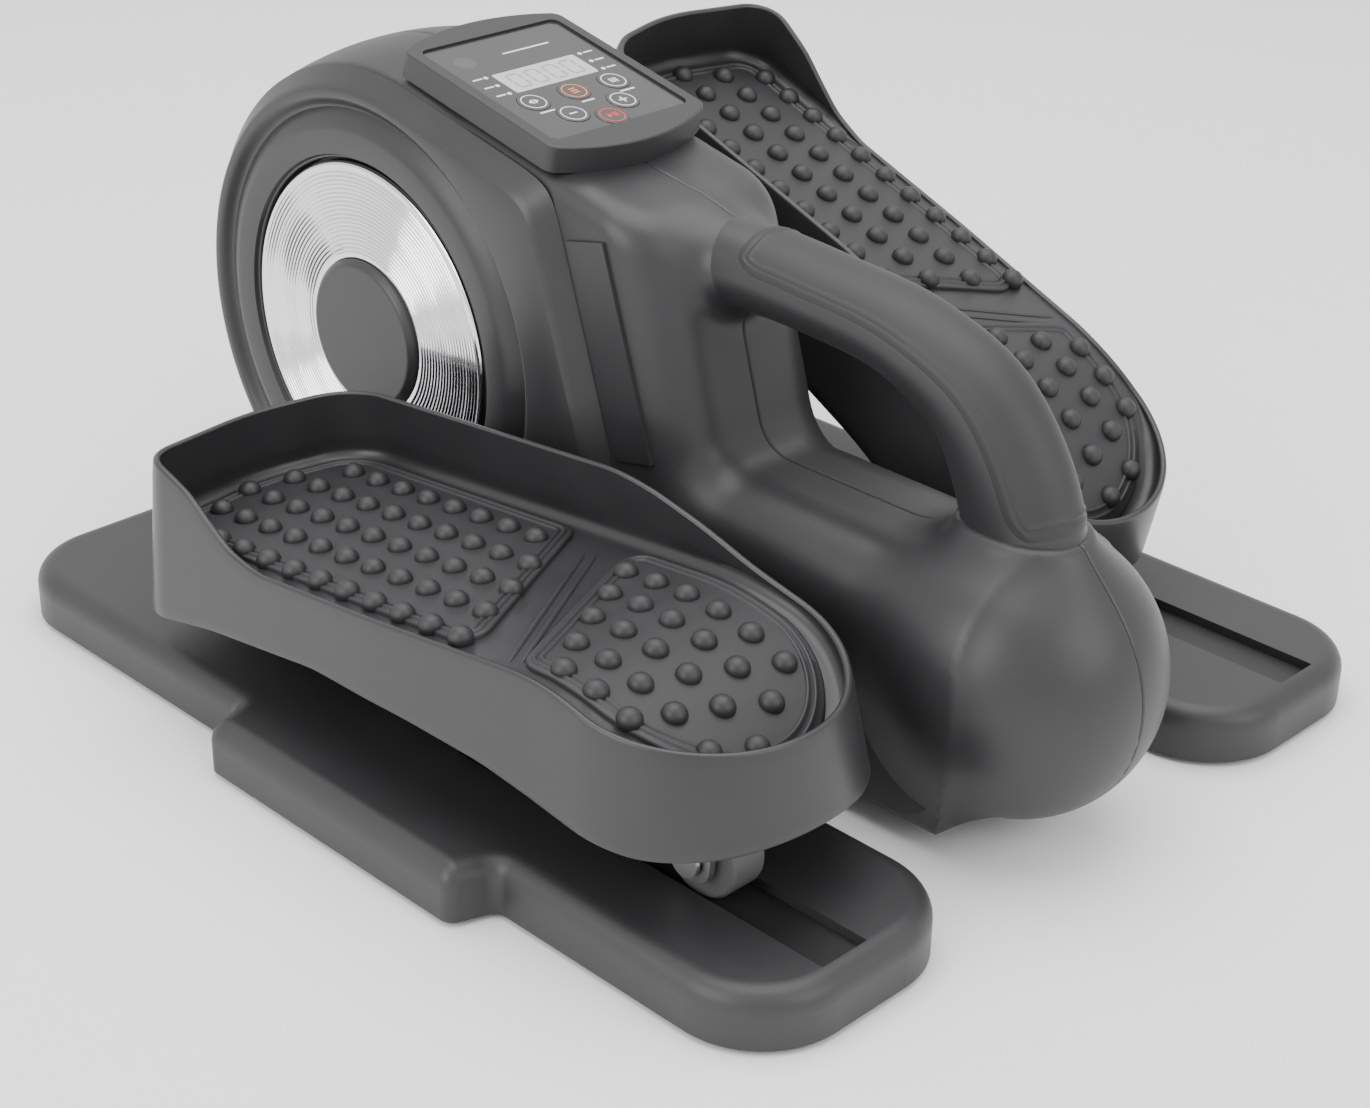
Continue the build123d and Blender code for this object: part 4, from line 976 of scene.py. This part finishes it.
@dataclass
class Body:
    """The body shells: round housing, column with sloping deck, neck and nose."""

    half: float = 44.0
    crown_r: float = 124.0
    crown: float = 6.0
    deck_deg: float = 12.0
    deck_rise: float = 122.0
    column_top: tuple = (166.0, 205.0)
    column_foot: tuple = (210.0, 60.0)
    column_r: float = 24.0
    neck_top: float = 113.0
    neck_r: float = 30.0
    nose_ahead: float = 330.0
    nose_z: float = 68.0
    nose_r: tuple = (56.0, 57.4, 59.0)
    foot_z: float = 9.0
    seam_half: float = 0.9
    seam_depth: float = 0.5
    step: float = 2.4
    grid_x: float = 62.0
    grid_y: float = 262.0
    grid_z: float = 252.0
    probe: float = 0.25

    def field(
            self, x: np.ndarray, y: np.ndarray, z: np.ndarray, layout: Layout,
            handle: "Handle") -> np.ndarray:
        """Distance to the body's skin, negative inside.

        Args:
            x: X of the points.
            y: Y of the points.
            z: Z of the points.
            layout: places from the frame.
            handle: the carry handle, whose ends flow into the body.

        Returns:
            The distances in millimetres.
        """
        side = np.abs(x)
        ahead = layout.crank_y - y
        rise = z - layout.crank_z
        wall = side - self.half
        barrel = np.hypot(ahead, rise) - (self.crown_r - self.crown * (side / self.half) ** 2)
        barrel = corner(barrel, wall, 3.0)
        tilt = math.radians(self.deck_deg)
        deck = ahead * math.sin(tilt) + rise * math.cos(tilt) - self.deck_rise
        run = ahead * math.cos(tilt) - rise * math.sin(tilt)
        lean = math.atan2(self.column_foot[0] - self.column_top[0], self.column_top[1] - self.column_foot[1])
        front = (ahead - self.column_top[0]) * math.cos(lean) + (z - self.column_top[1]) * math.sin(lean)
        column = corner(front, wall, self.column_r)
        column = meet(column, deck, 14.0)
        column = np.maximum(column, -run - 4)
        column = np.maximum(column, -front - 150)
        neck = corner(z - self.neck_top, wall, self.neck_r)
        neck = np.maximum(neck, ahead - self.nose_ahead)
        neck = np.maximum(neck, 60 - ahead)
        rx, ry, rz = self.nose_r
        nose = np.sqrt((x / rx) ** 2 + ((ahead - self.nose_ahead) / ry) ** 2 + ((z - self.nose_z) / rz) ** 2)
        nose = (nose - 1) * rx
        body = ease(barrel, column, 5.0)
        body = ease(body, ease(neck, nose, 16.0), 14.0)
        grip = handle.field(x, ahead, z, 1.0)
        stub = np.minimum(np.maximum(grip, ahead - 184), np.maximum(grip, z - 126))
        body = ease(body, stub, 16.0)
        body = np.maximum(body, ahead - self.nose_ahead - ry)
        return corner(body, self.foot_z - z, 3.0)

    def build(self, layout: Layout, handle: "Handle") -> None:
        """Meshes the field on one side, trims it on the mid-plane and mirrors it for the other.

        Args:
            layout: places from the frame.
            handle: the carry handle.
        """
        points, quads = self.skin(layout, handle)
        for side in Side:
            work = bmesh.new()
            verts = [work.verts.new(tuple(p * MM)) for p in points]
            for quad in quads:
                work.faces.new([verts[n] for n in quad])
            for at, clear in ((1.1, False), (0.5, False), (0.1, True)):
                cut = bmesh.ops.bisect_plane(
                    work, geom=work.verts[:] + work.edges[:] + work.faces[:], dist=1e-7,
                    plane_co=(at * MM, 0, 0), plane_no=(-1, 0, 0), clear_outer=clear)
            work.normal_update()
            for vert in work.verts:
                if vert.co.x < self.seam_half * MM:
                    inward = vert.normal * (self.seam_depth * MM * (1 - vert.co.x / (self.seam_half * MM)))
                    vert.co -= Vector((0.0, inward.y, inward.z))
            rim = [item for item in cut["geom_cut"] if isinstance(item, bmesh.types.BMEdge)]
            bmesh.ops.contextual_create(work, geom=rim)
            if side is Side.LEFT:
                bmesh.ops.scale(work, vec=(-1, 1, 1), verts=work.verts)
            bmesh.ops.recalc_face_normals(work, faces=work.faces)
            mesh = bpy.data.meshes.new(piece_name(f"{side.word} body shell"))
            work.to_mesh(mesh)
            work.free()
            mesh.materials.append(BODY_PLASTIC.build())
            mesh.shade_smooth()
            mesh.set_sharp_from_angle(angle=math.radians(40))
            piece = bpy.data.objects.new(mesh.name, mesh)
            bpy.context.scene.collection.objects.link(piece)
            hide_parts(f"{side.word}_body_shell")
            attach(piece, "root")
            LOG.info("%s: %d faces", piece.name, len(mesh.polygons))

    def skin(self, layout: Layout, handle: "Handle") -> tuple[np.ndarray, np.ndarray]:
        """Surface of the field for X above zero, one point per crossed cell, drawn onto the skin.

        Args:
            layout: places from the frame.
            handle: the carry handle.

        Returns:
            Points in millimetres and quads.
        """
        step = self.step
        xs = np.arange(-3 * step, self.grid_x, step)
        ys = np.arange(-self.grid_y, self.grid_y, step)
        zs = np.arange(0, self.grid_z, step)
        value = self.field(xs[:, None, None], ys[None, :, None], zs[None, None, :], layout, handle)
        value = np.broadcast_to(value, (len(xs), len(ys), len(zs))).astype(np.float64)
        inside = value < 0
        shape = tuple(n - 1 for n in value.shape)
        total = np.zeros(shape + (3,))
        hits = np.zeros(shape)
        ends = [(a, b, c) for a in (0, 1) for b in (0, 1) for c in (0, 1)]
        for start in ends:
            for axis in range(3):
                if start[axis] == 1:
                    continue
                stop = tuple(v + (1 if k == axis else 0) for k, v in enumerate(start))
                first = value[tuple(slice(s, s + n) for s, n in zip(start, shape))]
                second = value[tuple(slice(s, s + n) for s, n in zip(stop, shape))]
                crossed = (first < 0) != (second < 0)
                share = np.where(crossed, first / np.where(crossed, first - second, 1), 0)
                for k in range(3):
                    total[..., k] += crossed * (start[k] + (share if k == axis else 0))
                hits += crossed
        active = hits > 0
        number = -np.ones(shape, int)
        number[active] = np.arange(active.sum())
        cells = np.argwhere(active)
        points = (cells + total[active] / hits[active][:, None]) * step + np.array([xs[0], ys[0], zs[0]])
        quads = []
        for axis in range(3):
            low = tuple(slice(0, -1) if k == axis else slice(1, -1) for k in range(3))
            high = tuple(slice(1, None) if k == axis else slice(1, -1) for k in range(3))
            edges = np.argwhere(inside[low] != inside[high])
            edges = edges + np.array([0 if k == axis else 1 for k in range(3)])
            u, v = [k for k in range(3) if k != axis]
            around = []
            for du, dv in ((0, 0), (-1, 0), (-1, -1), (0, -1)):
                at = edges.copy()
                at[:, u] += du
                at[:, v] += dv
                around.append(number[tuple(at.T)])
            quads.append(np.stack(around, 1))
        quads = np.concatenate(quads)
        quads = quads[(quads >= 0).all(1)]
        for _ in range(3):
            here = self.field(*points.T, layout, handle)
            slope = np.zeros_like(points)
            for k in range(3):
                moved = points.copy()
                moved[:, k] += self.probe
                slope[:, k] = (self.field(*moved.T, layout, handle) - here) / self.probe
            size = np.maximum((slope ** 2).sum(1), 0.2)
            points -= np.clip(here / size, -step, step)[:, None] * slope
        return points, quads


# ---------------------------------------------------------------- carry handle
@dataclass
class Handle:
    """The bent carry handle and its soft grip."""

    half_width: float = 20.0
    path: tuple = (
        (140.0, 184.0, 44.0), (175.0, 189.5, 37.0), (225.0, 189.5, 33.0), (270.0, 184.0, 35.0),
        (303.0, 168.0, 42.0), (320.0, 143.0, 49.0), (330.0, 112.0, 50.0), (334.0, 92.0, 50.0))
    grip_from: float = 0.20
    grip_to: float = 0.86
    grip_up: float = 0.35
    grip_deg: float = 74.0
    grip_end_share: float = 0.62
    grip_end_r: float = 14.0
    border_at: tuple = (3.0, 5.6)
    border_up: float = 0.55
    border_half: float = 1.1

    def centre(self, count: int = 240) -> np.ndarray:
        """Smooth centre line through the path.

        Args:
            count: number of points.

        Returns:
            (count, 3) rows of ahead, height and thickness.
        """
        keys = np.array(self.path)
        length = np.concatenate([[0], np.cumsum(np.linalg.norm(np.diff(keys[:, :2], axis=0), axis=1))])
        at = np.linspace(0, length[-1], count)
        slope = np.gradient(keys, length, axis=0)
        k = np.clip(np.searchsorted(length, at, side="right") - 1, 0, len(keys) - 2)
        span = length[k + 1] - length[k]
        t = ((at - length[k]) / span)[:, None]
        return ((2 * t ** 3 - 3 * t ** 2 + 1) * keys[k] + (t ** 3 - 2 * t ** 2 + t) * span[:, None] * slope[k]
                + (3 * t ** 2 - 2 * t ** 3) * keys[k + 1] + (t ** 3 - t ** 2) * span[:, None] * slope[k + 1])

    def field(self, x: np.ndarray, ahead: np.ndarray, z: np.ndarray, shrink: float) -> np.ndarray:
        """Rough distance to the handle's skin.

        Args:
            x: X of the points.
            ahead: distances of the points from the crank axis.
            z: Z of the points.
            shrink: how much thinner the form is than the handle.

        Returns:
            The distances.
        """
        keys = self.centre(40)
        best = None
        for (a0, z0, t0), (a1, z1, t1) in zip(keys[:-1], keys[1:]):
            da, dz = a1 - a0, z1 - z0
            t = np.clip(((ahead - a0) * da + (z - z0) * dz) / (da * da + dz * dz), 0, 1)
            off = np.hypot(ahead - a0 - t * da, z - z0 - t * dz)
            half = (t0 + (t1 - t0) * t) / 2 - shrink
            wide = self.half_width - shrink
            gap = (np.sqrt((x / wide) ** 2 + (off / half) ** 2) - 1) * wide
            best = gap if best is None else np.minimum(best, gap)
        return best

    def build(self, layout: Layout) -> None:
        """Builds the handle and lays the grip on its upper and outer face.

        Args:
            layout: places from the frame.
        """
        line = self.centre()
        tangent = np.gradient(line[:, :2], axis=0)
        tangent /= np.linalg.norm(tangent, axis=1, keepdims=True)
        up = np.stack([-tangent[:, 1], tangent[:, 0]], 1)
        steps = 72
        turn = np.linspace(0, 2 * math.pi, steps, endpoint=False)
        rings = []
        for k in range(len(line)):
            rings.append(self.curve(line[k], up[k], turn, 0.0, layout))
        caps = [np.repeat(rings[0].mean(0)[None], steps, 0), np.repeat(rings[-1].mean(0)[None], steps, 0)]
        rings = [caps[0]] + rings + [caps[1]]
        piece = make_piece("carry handle", np.concatenate(rings), grid_faces(len(rings), steps), BODY_PLASTIC)
        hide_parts("carry_handle")
        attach(piece, "root")
        LOG.info("%s: %d faces", piece.name, len(piece.data.polygons))
        self.grip(line, up, layout)

    def grip(self, line: np.ndarray, up: np.ndarray, layout: Layout) -> None:
        """Soft inlay with a double raised border line.

        Args:
            line: the centre line.
            up: the direction square to it at each point.
            layout: places from the frame.
        """
        first, last = int(self.grip_from * len(line)), int(self.grip_to * len(line))
        rows = np.linspace(first, last, 150)
        columns = np.linspace(-1, 1, 61)
        length = np.linalg.norm(np.diff(line[first:last, :2], axis=0), axis=1).sum()
        grid = []
        for row, at in enumerate(rows):
            low = min(int(at), len(line) - 2)
            t = at - low
            key = line[low] * (1 - t) + line[low + 1] * t
            direction = up[low] * (1 - t) + up[low + 1] * t
            from_end = min(row, len(rows) - 1 - row) / (len(rows) - 1) * length
            round_off = min(1.0, from_end / self.grip_end_r)
            bow = math.sqrt(max(0.0, 1 - (1 - round_off) ** 2))
            reach = math.radians(self.grip_deg) * (self.grip_end_share + (1 - self.grip_end_share) * bow)
            edge = (1 - np.abs(columns)) * reach * self.half_width
            distance = np.minimum(edge, from_end)
            lift = self.grip_up * np.clip(distance / 0.8, 0, 1) - 0.15
            for border in self.border_at:
                lift = lift + self.border_up * np.clip(1 - np.abs(distance - border) / self.border_half, 0, 1)
            grid.append(np.concatenate([
                self.curve(key, direction, columns * reach, lift, layout),
                self.curve(key, direction, columns[::-1] * reach, np.full(len(columns), -1.0), layout)]))
        columns_all = len(grid[0])
        ends = [np.repeat(g.mean(0)[None], columns_all, 0) for g in (grid[0], grid[-1])]
        rings = [ends[0]] + grid + [ends[1]]
        faces = grid_faces(len(rings), columns_all)
        piece = make_piece("handle grip", np.concatenate(rings), faces, GRIP_RUBBER)
        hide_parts("handle_grip")
        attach(piece, "root")
        LOG.info("%s: %d faces", piece.name, len(piece.data.polygons))

    def curve(
            self, key: np.ndarray, up: np.ndarray, turn: np.ndarray, lift: np.ndarray | float,
            layout: Layout) -> np.ndarray:
        """A cross-section of the handle, or part of one.

        Args:
            key: ahead, height and thickness at this point of the centre line.
            up: the direction square to the centre line.
            turn: angles round it.
            lift: height above the handle's skin.
            layout: places from the frame.

        Returns:
            (n, 3) points in the row frame.
        """
        across = (self.half_width + lift) * np.sin(turn)
        rise = (key[2] / 2 + lift) * np.cos(turn)
        return np.column_stack([across, layout.ahead(key[0] + up[0] * rise), key[1] + up[1] * rise])


# ---------------------------------------------------------------- side covers and crank trim
@dataclass
class SideCover:
    """D-shaped side cover with a raised ring round the crank disc."""

    foot_out: float = 44.2
    face_out: float = 53.0
    foot_r: float = 118.0
    rim_r: float = 110.0
    hole_r: float = 79.0
    valley_r: float = 101.0
    deck_deg: float = 12.0
    front_top: float = 106.0
    front_top_z: float = 209.0
    lean: float = 0.336
    corner_soft: float = 5.0
    foot_z: float = 9.0
    lip: float = 1.2
    lip_down: float = 3.6
    hump: float = 2.4
    hump_fall: float = 13.3
    rise_w: float = 6.0

    def reach(self, turn: np.ndarray, radius: float, grow: float, layout: Layout) -> np.ndarray:
        """Distance from the crank axis to the outline in each direction.

        Args:
            turn: directions, from the user's side upwards.
            radius: radius of the round part.
            grow: how far the straight front stands out.
            layout: places from the frame.

        Returns:
            The distances.
        """
        toward, z = np.cos(turn), np.sin(turn)
        tilt = math.radians(self.deck_deg)
        before = toward * math.cos(tilt) - z * math.sin(tilt) >= 0
        deck = toward * math.sin(tilt) + z * math.cos(tilt)
        slant = math.hypot(1, self.lean)
        front = (toward + z * self.lean) / slant
        front_at = (self.front_top + grow + (self.front_top_z - layout.crank_z) * self.lean) / slant
        far = np.full_like(turn, 1e3)
        top = np.where(deck > 1e-3, radius / np.maximum(deck, 1e-3), far)
        nose = np.where(front > 1e-3, front_at / np.maximum(front, 1e-3), far)
        floor = np.where(z < -1e-3, (layout.crank_z - self.foot_z) / np.maximum(-z, 1e-3), far)
        soft = self.corner_soft
        square = -soft * np.log(np.exp(-top / soft) + np.exp(-nose / soft))
        straight = (before & (z > 0)) | ((toward > 0) & (z <= 0))
        return np.where(straight, np.minimum(square, floor), np.minimum(radius, floor))

    def build(self, side: Side, layout: Layout) -> bpy.types.Object:
        """Builds one cover as a closed ring of profiles.

        Args:
            side: which cover.
            layout: places from the frame.

        Returns:
            The cover.
        """
        turn = np.linspace(0, 2 * math.pi, 720, endpoint=False)
        rim = self.reach(turn, self.rim_r, 0.0, layout)
        foot = self.reach(turn, self.foot_r, self.face_out - self.foot_out, layout)
        even = np.ones_like(turn)
        depth = self.face_out - self.foot_out
        rings = [(even * self.hole_r, self.foot_out)]
        for t in np.linspace(0, math.pi / 2, 5):
            rings.append((even * (self.hole_r + self.lip * (1 - math.cos(t))),
                          self.face_out - self.lip_down + self.lip * math.sin(t)))
        ring_in = self.hole_r + self.lip
        for t in np.linspace(0, 1, 26)[1:]:
            out = self.face_out - self.hump + self.hump * math.sin(math.pi * (0.25 + 0.5 * t))
            out -= self.hump_fall * max(0.0, t - 0.55) ** 1.6
            rings.append((even * (ring_in + t * (self.valley_r - ring_in)), out))
        valley_out = rings[-1][1]
        for t in np.linspace(0, 1, 13)[1:]:
            smooth = t * t * (3 - 2 * t)
            rings.append((np.minimum(self.valley_r + t * self.rise_w, rim - 1.5),
                          valley_out + (self.face_out - valley_out) * smooth))
        inner = rings[-1][0]
        for t in (0.5, 1.0):
            rings.append((inner + (rim - 1.0 - inner) * t, self.face_out))
        rings.append((rim - 0.2, self.face_out - 0.25))
        for t in np.linspace(0, 1, 5)[1:]:
            rings.append((rim + (foot - rim) * t, self.face_out - 0.6 - (depth - 0.6) * t))
        points = np.concatenate([np.column_stack([
            even * side.value * out, layout.ahead(radius * np.cos(turn)),
            layout.crank_z + radius * np.sin(turn)]) for radius, out in rings])
        faces = grid_faces(len(rings), len(turn), wrap_rows=True)
        piece = make_piece(f"{side.word} side cover", points, faces, COVER_PLASTIC)
        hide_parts(f"{side.word}_side_cover")
        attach(piece, "root")
        LOG.info("%s: %d faces", piece.name, len(piece.data.polygons))
        return piece


@dataclass
class CrankTrim:
    """Chrome ring with concentric grooves, and the hub cap over it."""

    ring_in: float = 34.7
    ring_out: float = 77.0
    back: float = 49.5
    face: float = 51.5
    grooves: float = 20.0
    groove_depth: float = 0.55
    cap_r: float = 34.5
    cap_out: float = 54.9
    bevel: float = 2.2

    def build(self, side: Side, layout: Layout, tool: NodeTool) -> None:
        """Builds the ring and the cap of one crank disc.

        Args:
            side: which disc.
            layout: places from the frame.
            tool: the groove tool.
        """
        span = np.linspace(self.ring_in + 0.4, self.ring_out - 0.8, 241)
        profile = [(self.ring_in, self.back), (self.ring_in, self.face - 0.3)]
        profile += [(float(r), self.face) for r in span]
        profile += [(self.ring_out, self.face - 0.7), (self.ring_out, self.back)]
        points, faces = lathe(profile, layout.crank_y, layout.crank_z, side.value, 180)
        ring = make_piece(f"{side.word} chrome ring", points, faces, CHROME)
        tool.run(ring, {
            "Axis": (0.0, layout.crank_y * MM, layout.crank_z * MM), "Inner": (self.ring_in + 2.5) * MM,
            "Outer": (self.ring_out - 2.5) * MM, "Face": (self.face - 0.1) * MM, "Count": self.grooves,
            "Depth": self.groove_depth * MM, "Material": CHROME.build()})
        cap_profile = [(ON_AXIS, self.back), (self.cap_r, self.back), (self.cap_r, self.cap_out - self.bevel)]
        for t in np.linspace(0, 1, 6)[1:]:
            out = self.cap_out - self.bevel * (1 - t) ** 1.3
            cap_profile.append((self.cap_r - self.bevel * 1.2 * t, out))
        cap_profile += [(self.cap_r - self.bevel * 1.2 - 1.0, self.cap_out), (self.cap_r * 0.5, self.cap_out),
                        (ON_AXIS, self.cap_out)]
        points, faces = lathe(cap_profile, layout.crank_y, layout.crank_z, side.value, 128)
        cap = make_piece(f"{side.word} hub cap", points, faces, COVER_PLASTIC)
        for piece, node, slot in ((ring, "chrome_ring", "chrome_trim"), (cap, "hub_cap", "cap_plastic")):
            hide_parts(f"{side.word}_{node}")
            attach(piece, "crank")
            LOG.info("%s: %d faces", piece.name, len(piece.data.polygons))


# ---------------------------------------------------------------- console print
@dataclass
class ConsolePrint:
    """Printed marks on the console film and the digits behind its window."""

    rise: float = 132.4
    deck_deg: float = 12.0
    window_along: float = 34.7
    digit_h: float = 11.0
    digit_w: float = 6.2
    stroke: float = 1.1
    key_r: float = 5.6
    key_up: float = 0.32
    film_up: float = 0.06
    film_down: float = 0.05
    ring_w: float = 0.5

    def place(self, flat: np.ndarray, layout: Layout) -> np.ndarray:
        """Moves points onto the console.

        Args:
            flat: (n, 3) rows of across, along and up.
            layout: places from the frame.

        Returns:
            (n, 3) points in the row frame.
        """
        tilt = math.radians(self.deck_deg)
        y = layout.crank_y - (self.rise + flat[:, 2]) * math.sin(tilt) - flat[:, 1] * math.cos(tilt)
        z = layout.crank_z + (self.rise + flat[:, 2]) * math.cos(tilt) - flat[:, 1] * math.sin(tilt)
        return np.column_stack([flat[:, 0], y, z])

    def mark(
            self, name: str, shapes: list, up: float, finish: Finish, body: str, slot: str,
            layout: Layout) -> None:
        """Builds one printed mark from closed outlines.

        Args:
            name: the mark's name.
            shapes: its outlines as (across, along) points.
            up: height of the surface it is printed on.
            finish: the ink.
            body: the body it moves with.
            slot: the record's material slot; not used.
            layout: places from the frame.
        """
        points, faces = [], []
        count = 0
        for loop in shapes:
            p, f = plate(np.asarray(loop, float), up - self.film_down, up + self.film_up)
            points.append(p)
            faces += [[n + count for n in face] for face in f]
            count += len(p)
        piece = make_piece(name, self.place(np.concatenate(points), layout), faces, finish, flat=True)
        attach(piece, body)

    def ring(self, name: str, x: float, along: float, radius: float, up: float, finish: Finish, body: str,
             layout: Layout) -> None:
        """Builds a thin printed ring.

        Args:
            name: the ring's name.
            x: its centre across.
            along: its centre along.
            radius: outer radius.
            up: height of the surface it is printed on.
            finish: the ink.
            body: the body it moves with.
            layout: places from the frame.
        """
        steps = 64
        turn = np.linspace(0, 2 * math.pi, steps, endpoint=False)
        inner, low, high = radius - self.ring_w, up - self.film_down, up + self.film_up
        rings = []
        for edge, height in ((inner, low), (inner, high), (radius, high), (radius, low)):
            rings.append(np.column_stack([
                x + edge * np.cos(turn), along + edge * np.sin(turn), np.full(steps, height)]))
        faces = grid_faces(len(rings), steps, wrap_rows=True)
        piece = make_piece(name, self.place(np.concatenate(rings), layout), faces, finish)
        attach(piece, body)

    @staticmethod
    def bar(x: float, along: float, width: float, length: float) -> list:
        """Outline of a bar.

        Args:
            x: its centre across.
            along: its centre along.
            width: size across.
            length: size along.

        Returns:
            The four corners.
        """
        return [(x - width / 2, along - length / 2), (x + width / 2, along - length / 2),
                (x + width / 2, along + length / 2), (x - width / 2, along + length / 2)]

    def build(self, layout: Layout) -> None:
        """Builds every mark.

        Args:
            layout: places from the frame.
        """
        keys = {"direction_key": (-22.5, 52.5), "mode_key": (0.0, 52.5), "function_key": (22.5, 52.5),
                "slower_key": (-14.0, 67.5), "faster_key": (14.0, 67.5), "start_stop_key": (0.0, 76.0)}
        top = self.key_up
        for name, (x, along) in keys.items():
            ink = {"mode_key": INK_ORANGE, "start_stop_key": INK_RED}.get(name, INK_WHITE)
            self.ring(f"{name} ring", x, along, self.key_r, top, ink, name, layout)
            shapes = {
                "direction_key": [[(x - 2.6, along), (x - 0.4, along - 1.8), (x - 0.4, along + 1.8)],
                                  [(x + 0.4, along - 1.8), (x + 2.6, along), (x + 0.4, along + 1.8)]],
                "mode_key": [self.bar(x, along, 3.6, 0.8), self.bar(x, along - 1.7, 3.6, 0.7),
                             self.bar(x, along + 1.7, 3.6, 0.7)],
                "function_key": [self.bar(x - 1.5, along, 0.8, 3.4), self.bar(x, along, 0.8, 3.4),
                                 self.bar(x + 1.5, along, 0.8, 3.4)],
                "slower_key": [self.bar(x, along, 4.2, 0.9)],
                "faster_key": [self.bar(x, along, 4.2, 0.9), self.bar(x, along - 1.3, 0.9, 1.7),
                               self.bar(x, along + 1.3, 0.9, 1.7)],
                "start_stop_key": [[(x - 2.4, along - 1.8), (x + 0.2, along), (x - 2.4, along + 1.8)],
                                   self.bar(x + 1.2, along, 0.7, 3.4), self.bar(x + 2.6, along, 0.7, 3.4)],
            }[name]
            self.mark(f"{name} sign", shapes, top, ink, name, "key_film", layout)
        digits = []
        for k in range(4):
            x = -15.0 + k * 10.0
            h, w, s = self.digit_h / 2, self.digit_w / 2, self.stroke
            digits += [self.bar(x, self.window_along - h, self.digit_w - s, s),
                       self.bar(x, self.window_along + h, self.digit_w - s, s)]
            for across in (-w, w):
                digits += [self.bar(x + across, self.window_along - h / 2, s, h - s),
                           self.bar(x + across, self.window_along + h / 2, s, h - s)]
        self.mark("display digits", digits, 0.0, DIGIT, "root", "display_glass", layout)
        words = [self.bar(x, along, w, 1.0) for x, along, w in (
            (-31.0, 27.0, 5.0), (-31.0, 34.5, 5.0), (-31.0, 42.0, 5.0), (31.0, 27.0, 5.0), (31.0, 34.5, 5.0),
            (31.0, 42.0, 5.0), (-22.5, 61.3, 8.0), (0.0, 61.3, 7.0), (22.5, 61.3, 8.0), (8.0, 13.0, 26.0))]
        self.mark("console words", words, 0.0, INK_WHITE, "root", "overlay_film", layout)
        LOG.info("console print built")


# ---------------------------------------------------------------- stage
class Stage:
    """Camera, floor and lights."""

    location = Vector((-0.70333, -0.70403, 0.55861))
    forward = Vector((0.63480, 0.62012, -0.46097))
    roll_deg = 1.24
    lens = 67.5

    def build(self) -> None:
        """Adds the camera first, then the floor and the lights."""
        data = bpy.data.cameras.new("camera")
        data.lens = self.lens
        data.sensor_width = 36.0
        data.clip_start = 0.01
        camera = bpy.data.objects.new("camera", data)
        bpy.context.scene.collection.objects.link(camera)
        right = self.forward.cross(Vector((0, 0, 1))).normalized()
        up = right.cross(self.forward).normalized()
        roll = math.radians(self.roll_deg)
        side = right * math.cos(roll) + up * math.sin(roll)
        top = up * math.cos(roll) - right * math.sin(roll)
        back = -self.forward.normalized()
        matrix = Matrix((side, top, back)).transposed().to_4x4()
        matrix.translation = self.location
        camera.matrix_world = matrix
        bpy.context.scene.camera = camera
        self.floor()
        self.lights()

    def floor(self) -> None:
        """A plain pale floor."""
        far = 6000.0
        mesh = bpy.data.meshes.new("floor")
        corners = [(-far, -far, 0), (far, -far, 0), (far, far, 0), (-far, far, 0)]
        mesh.from_pydata([tuple(c * MM for c in p) for p in corners], [], [(0, 1, 2, 3)])
        mesh.materials.append(FLOOR_PAINT.build())
        ground = bpy.data.objects.new("floor", mesh)
        bpy.context.scene.collection.objects.link(ground)

    def lights(self) -> None:
        """Soft light from above and both sides, under a bright sky."""
        world = bpy.data.worlds.new("studio")
        world.use_nodes = True
        world.node_tree.nodes["Background"].inputs["Color"].default_value = (1.0, 1.0, 1.0, 1.0)
        world.node_tree.nodes["Background"].inputs["Strength"].default_value = 1.25
        bpy.context.scene.world = world
        for name, place, size, power in (
                ("overhead light", (0.1, 0.1, 1.6), 1.6, 26.0), ("left light", (-1.5, 0.1, 0.9), 1.0, 14.0),
                ("front light", (0.2, -1.6, 1.0), 1.0, 9.0)):
            data = bpy.data.lights.new(name, "AREA")
            data.size = size
            data.energy = power
            lamp = bpy.data.objects.new(name, data)
            lamp.location = place
            lamp.rotation_euler = (Vector((0, 0, 0.08)) - Vector(place)).to_track_quat("-Z", "Y").to_euler()
            bpy.context.scene.collection.objects.link(lamp)


def dress_nodes() -> None:
    """Gives every CAD node the finish of its material slot."""
    slots = {item["node"]: item["material_slot"] for item in frame["record"]["subparts"]}
    for name, node in frame["nodes"].items():
        finish = NODE_FINISH[slots[name]]
        node.data.materials.clear()
        node.data.materials.append(finish.build())


def main() -> None:
    """Builds the whole model in order."""
    logging.basicConfig(level=logging.INFO, format="%(message)s")
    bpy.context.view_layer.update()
    Stage().build()
    dress_nodes()
    layout = Layout.read()
    handle = Handle()
    Body().build(layout, handle)
    handle.build(layout)
    bumps, grooves = bump_tool(), groove_tool()
    for side in Side:
        SideCover().build(side, layout)
        CrankTrim().build(side, layout, grooves)
        Pedal().build(side, layout, bumps)
    ConsolePrint().build(layout)


if __name__ == "__main__":
    main()
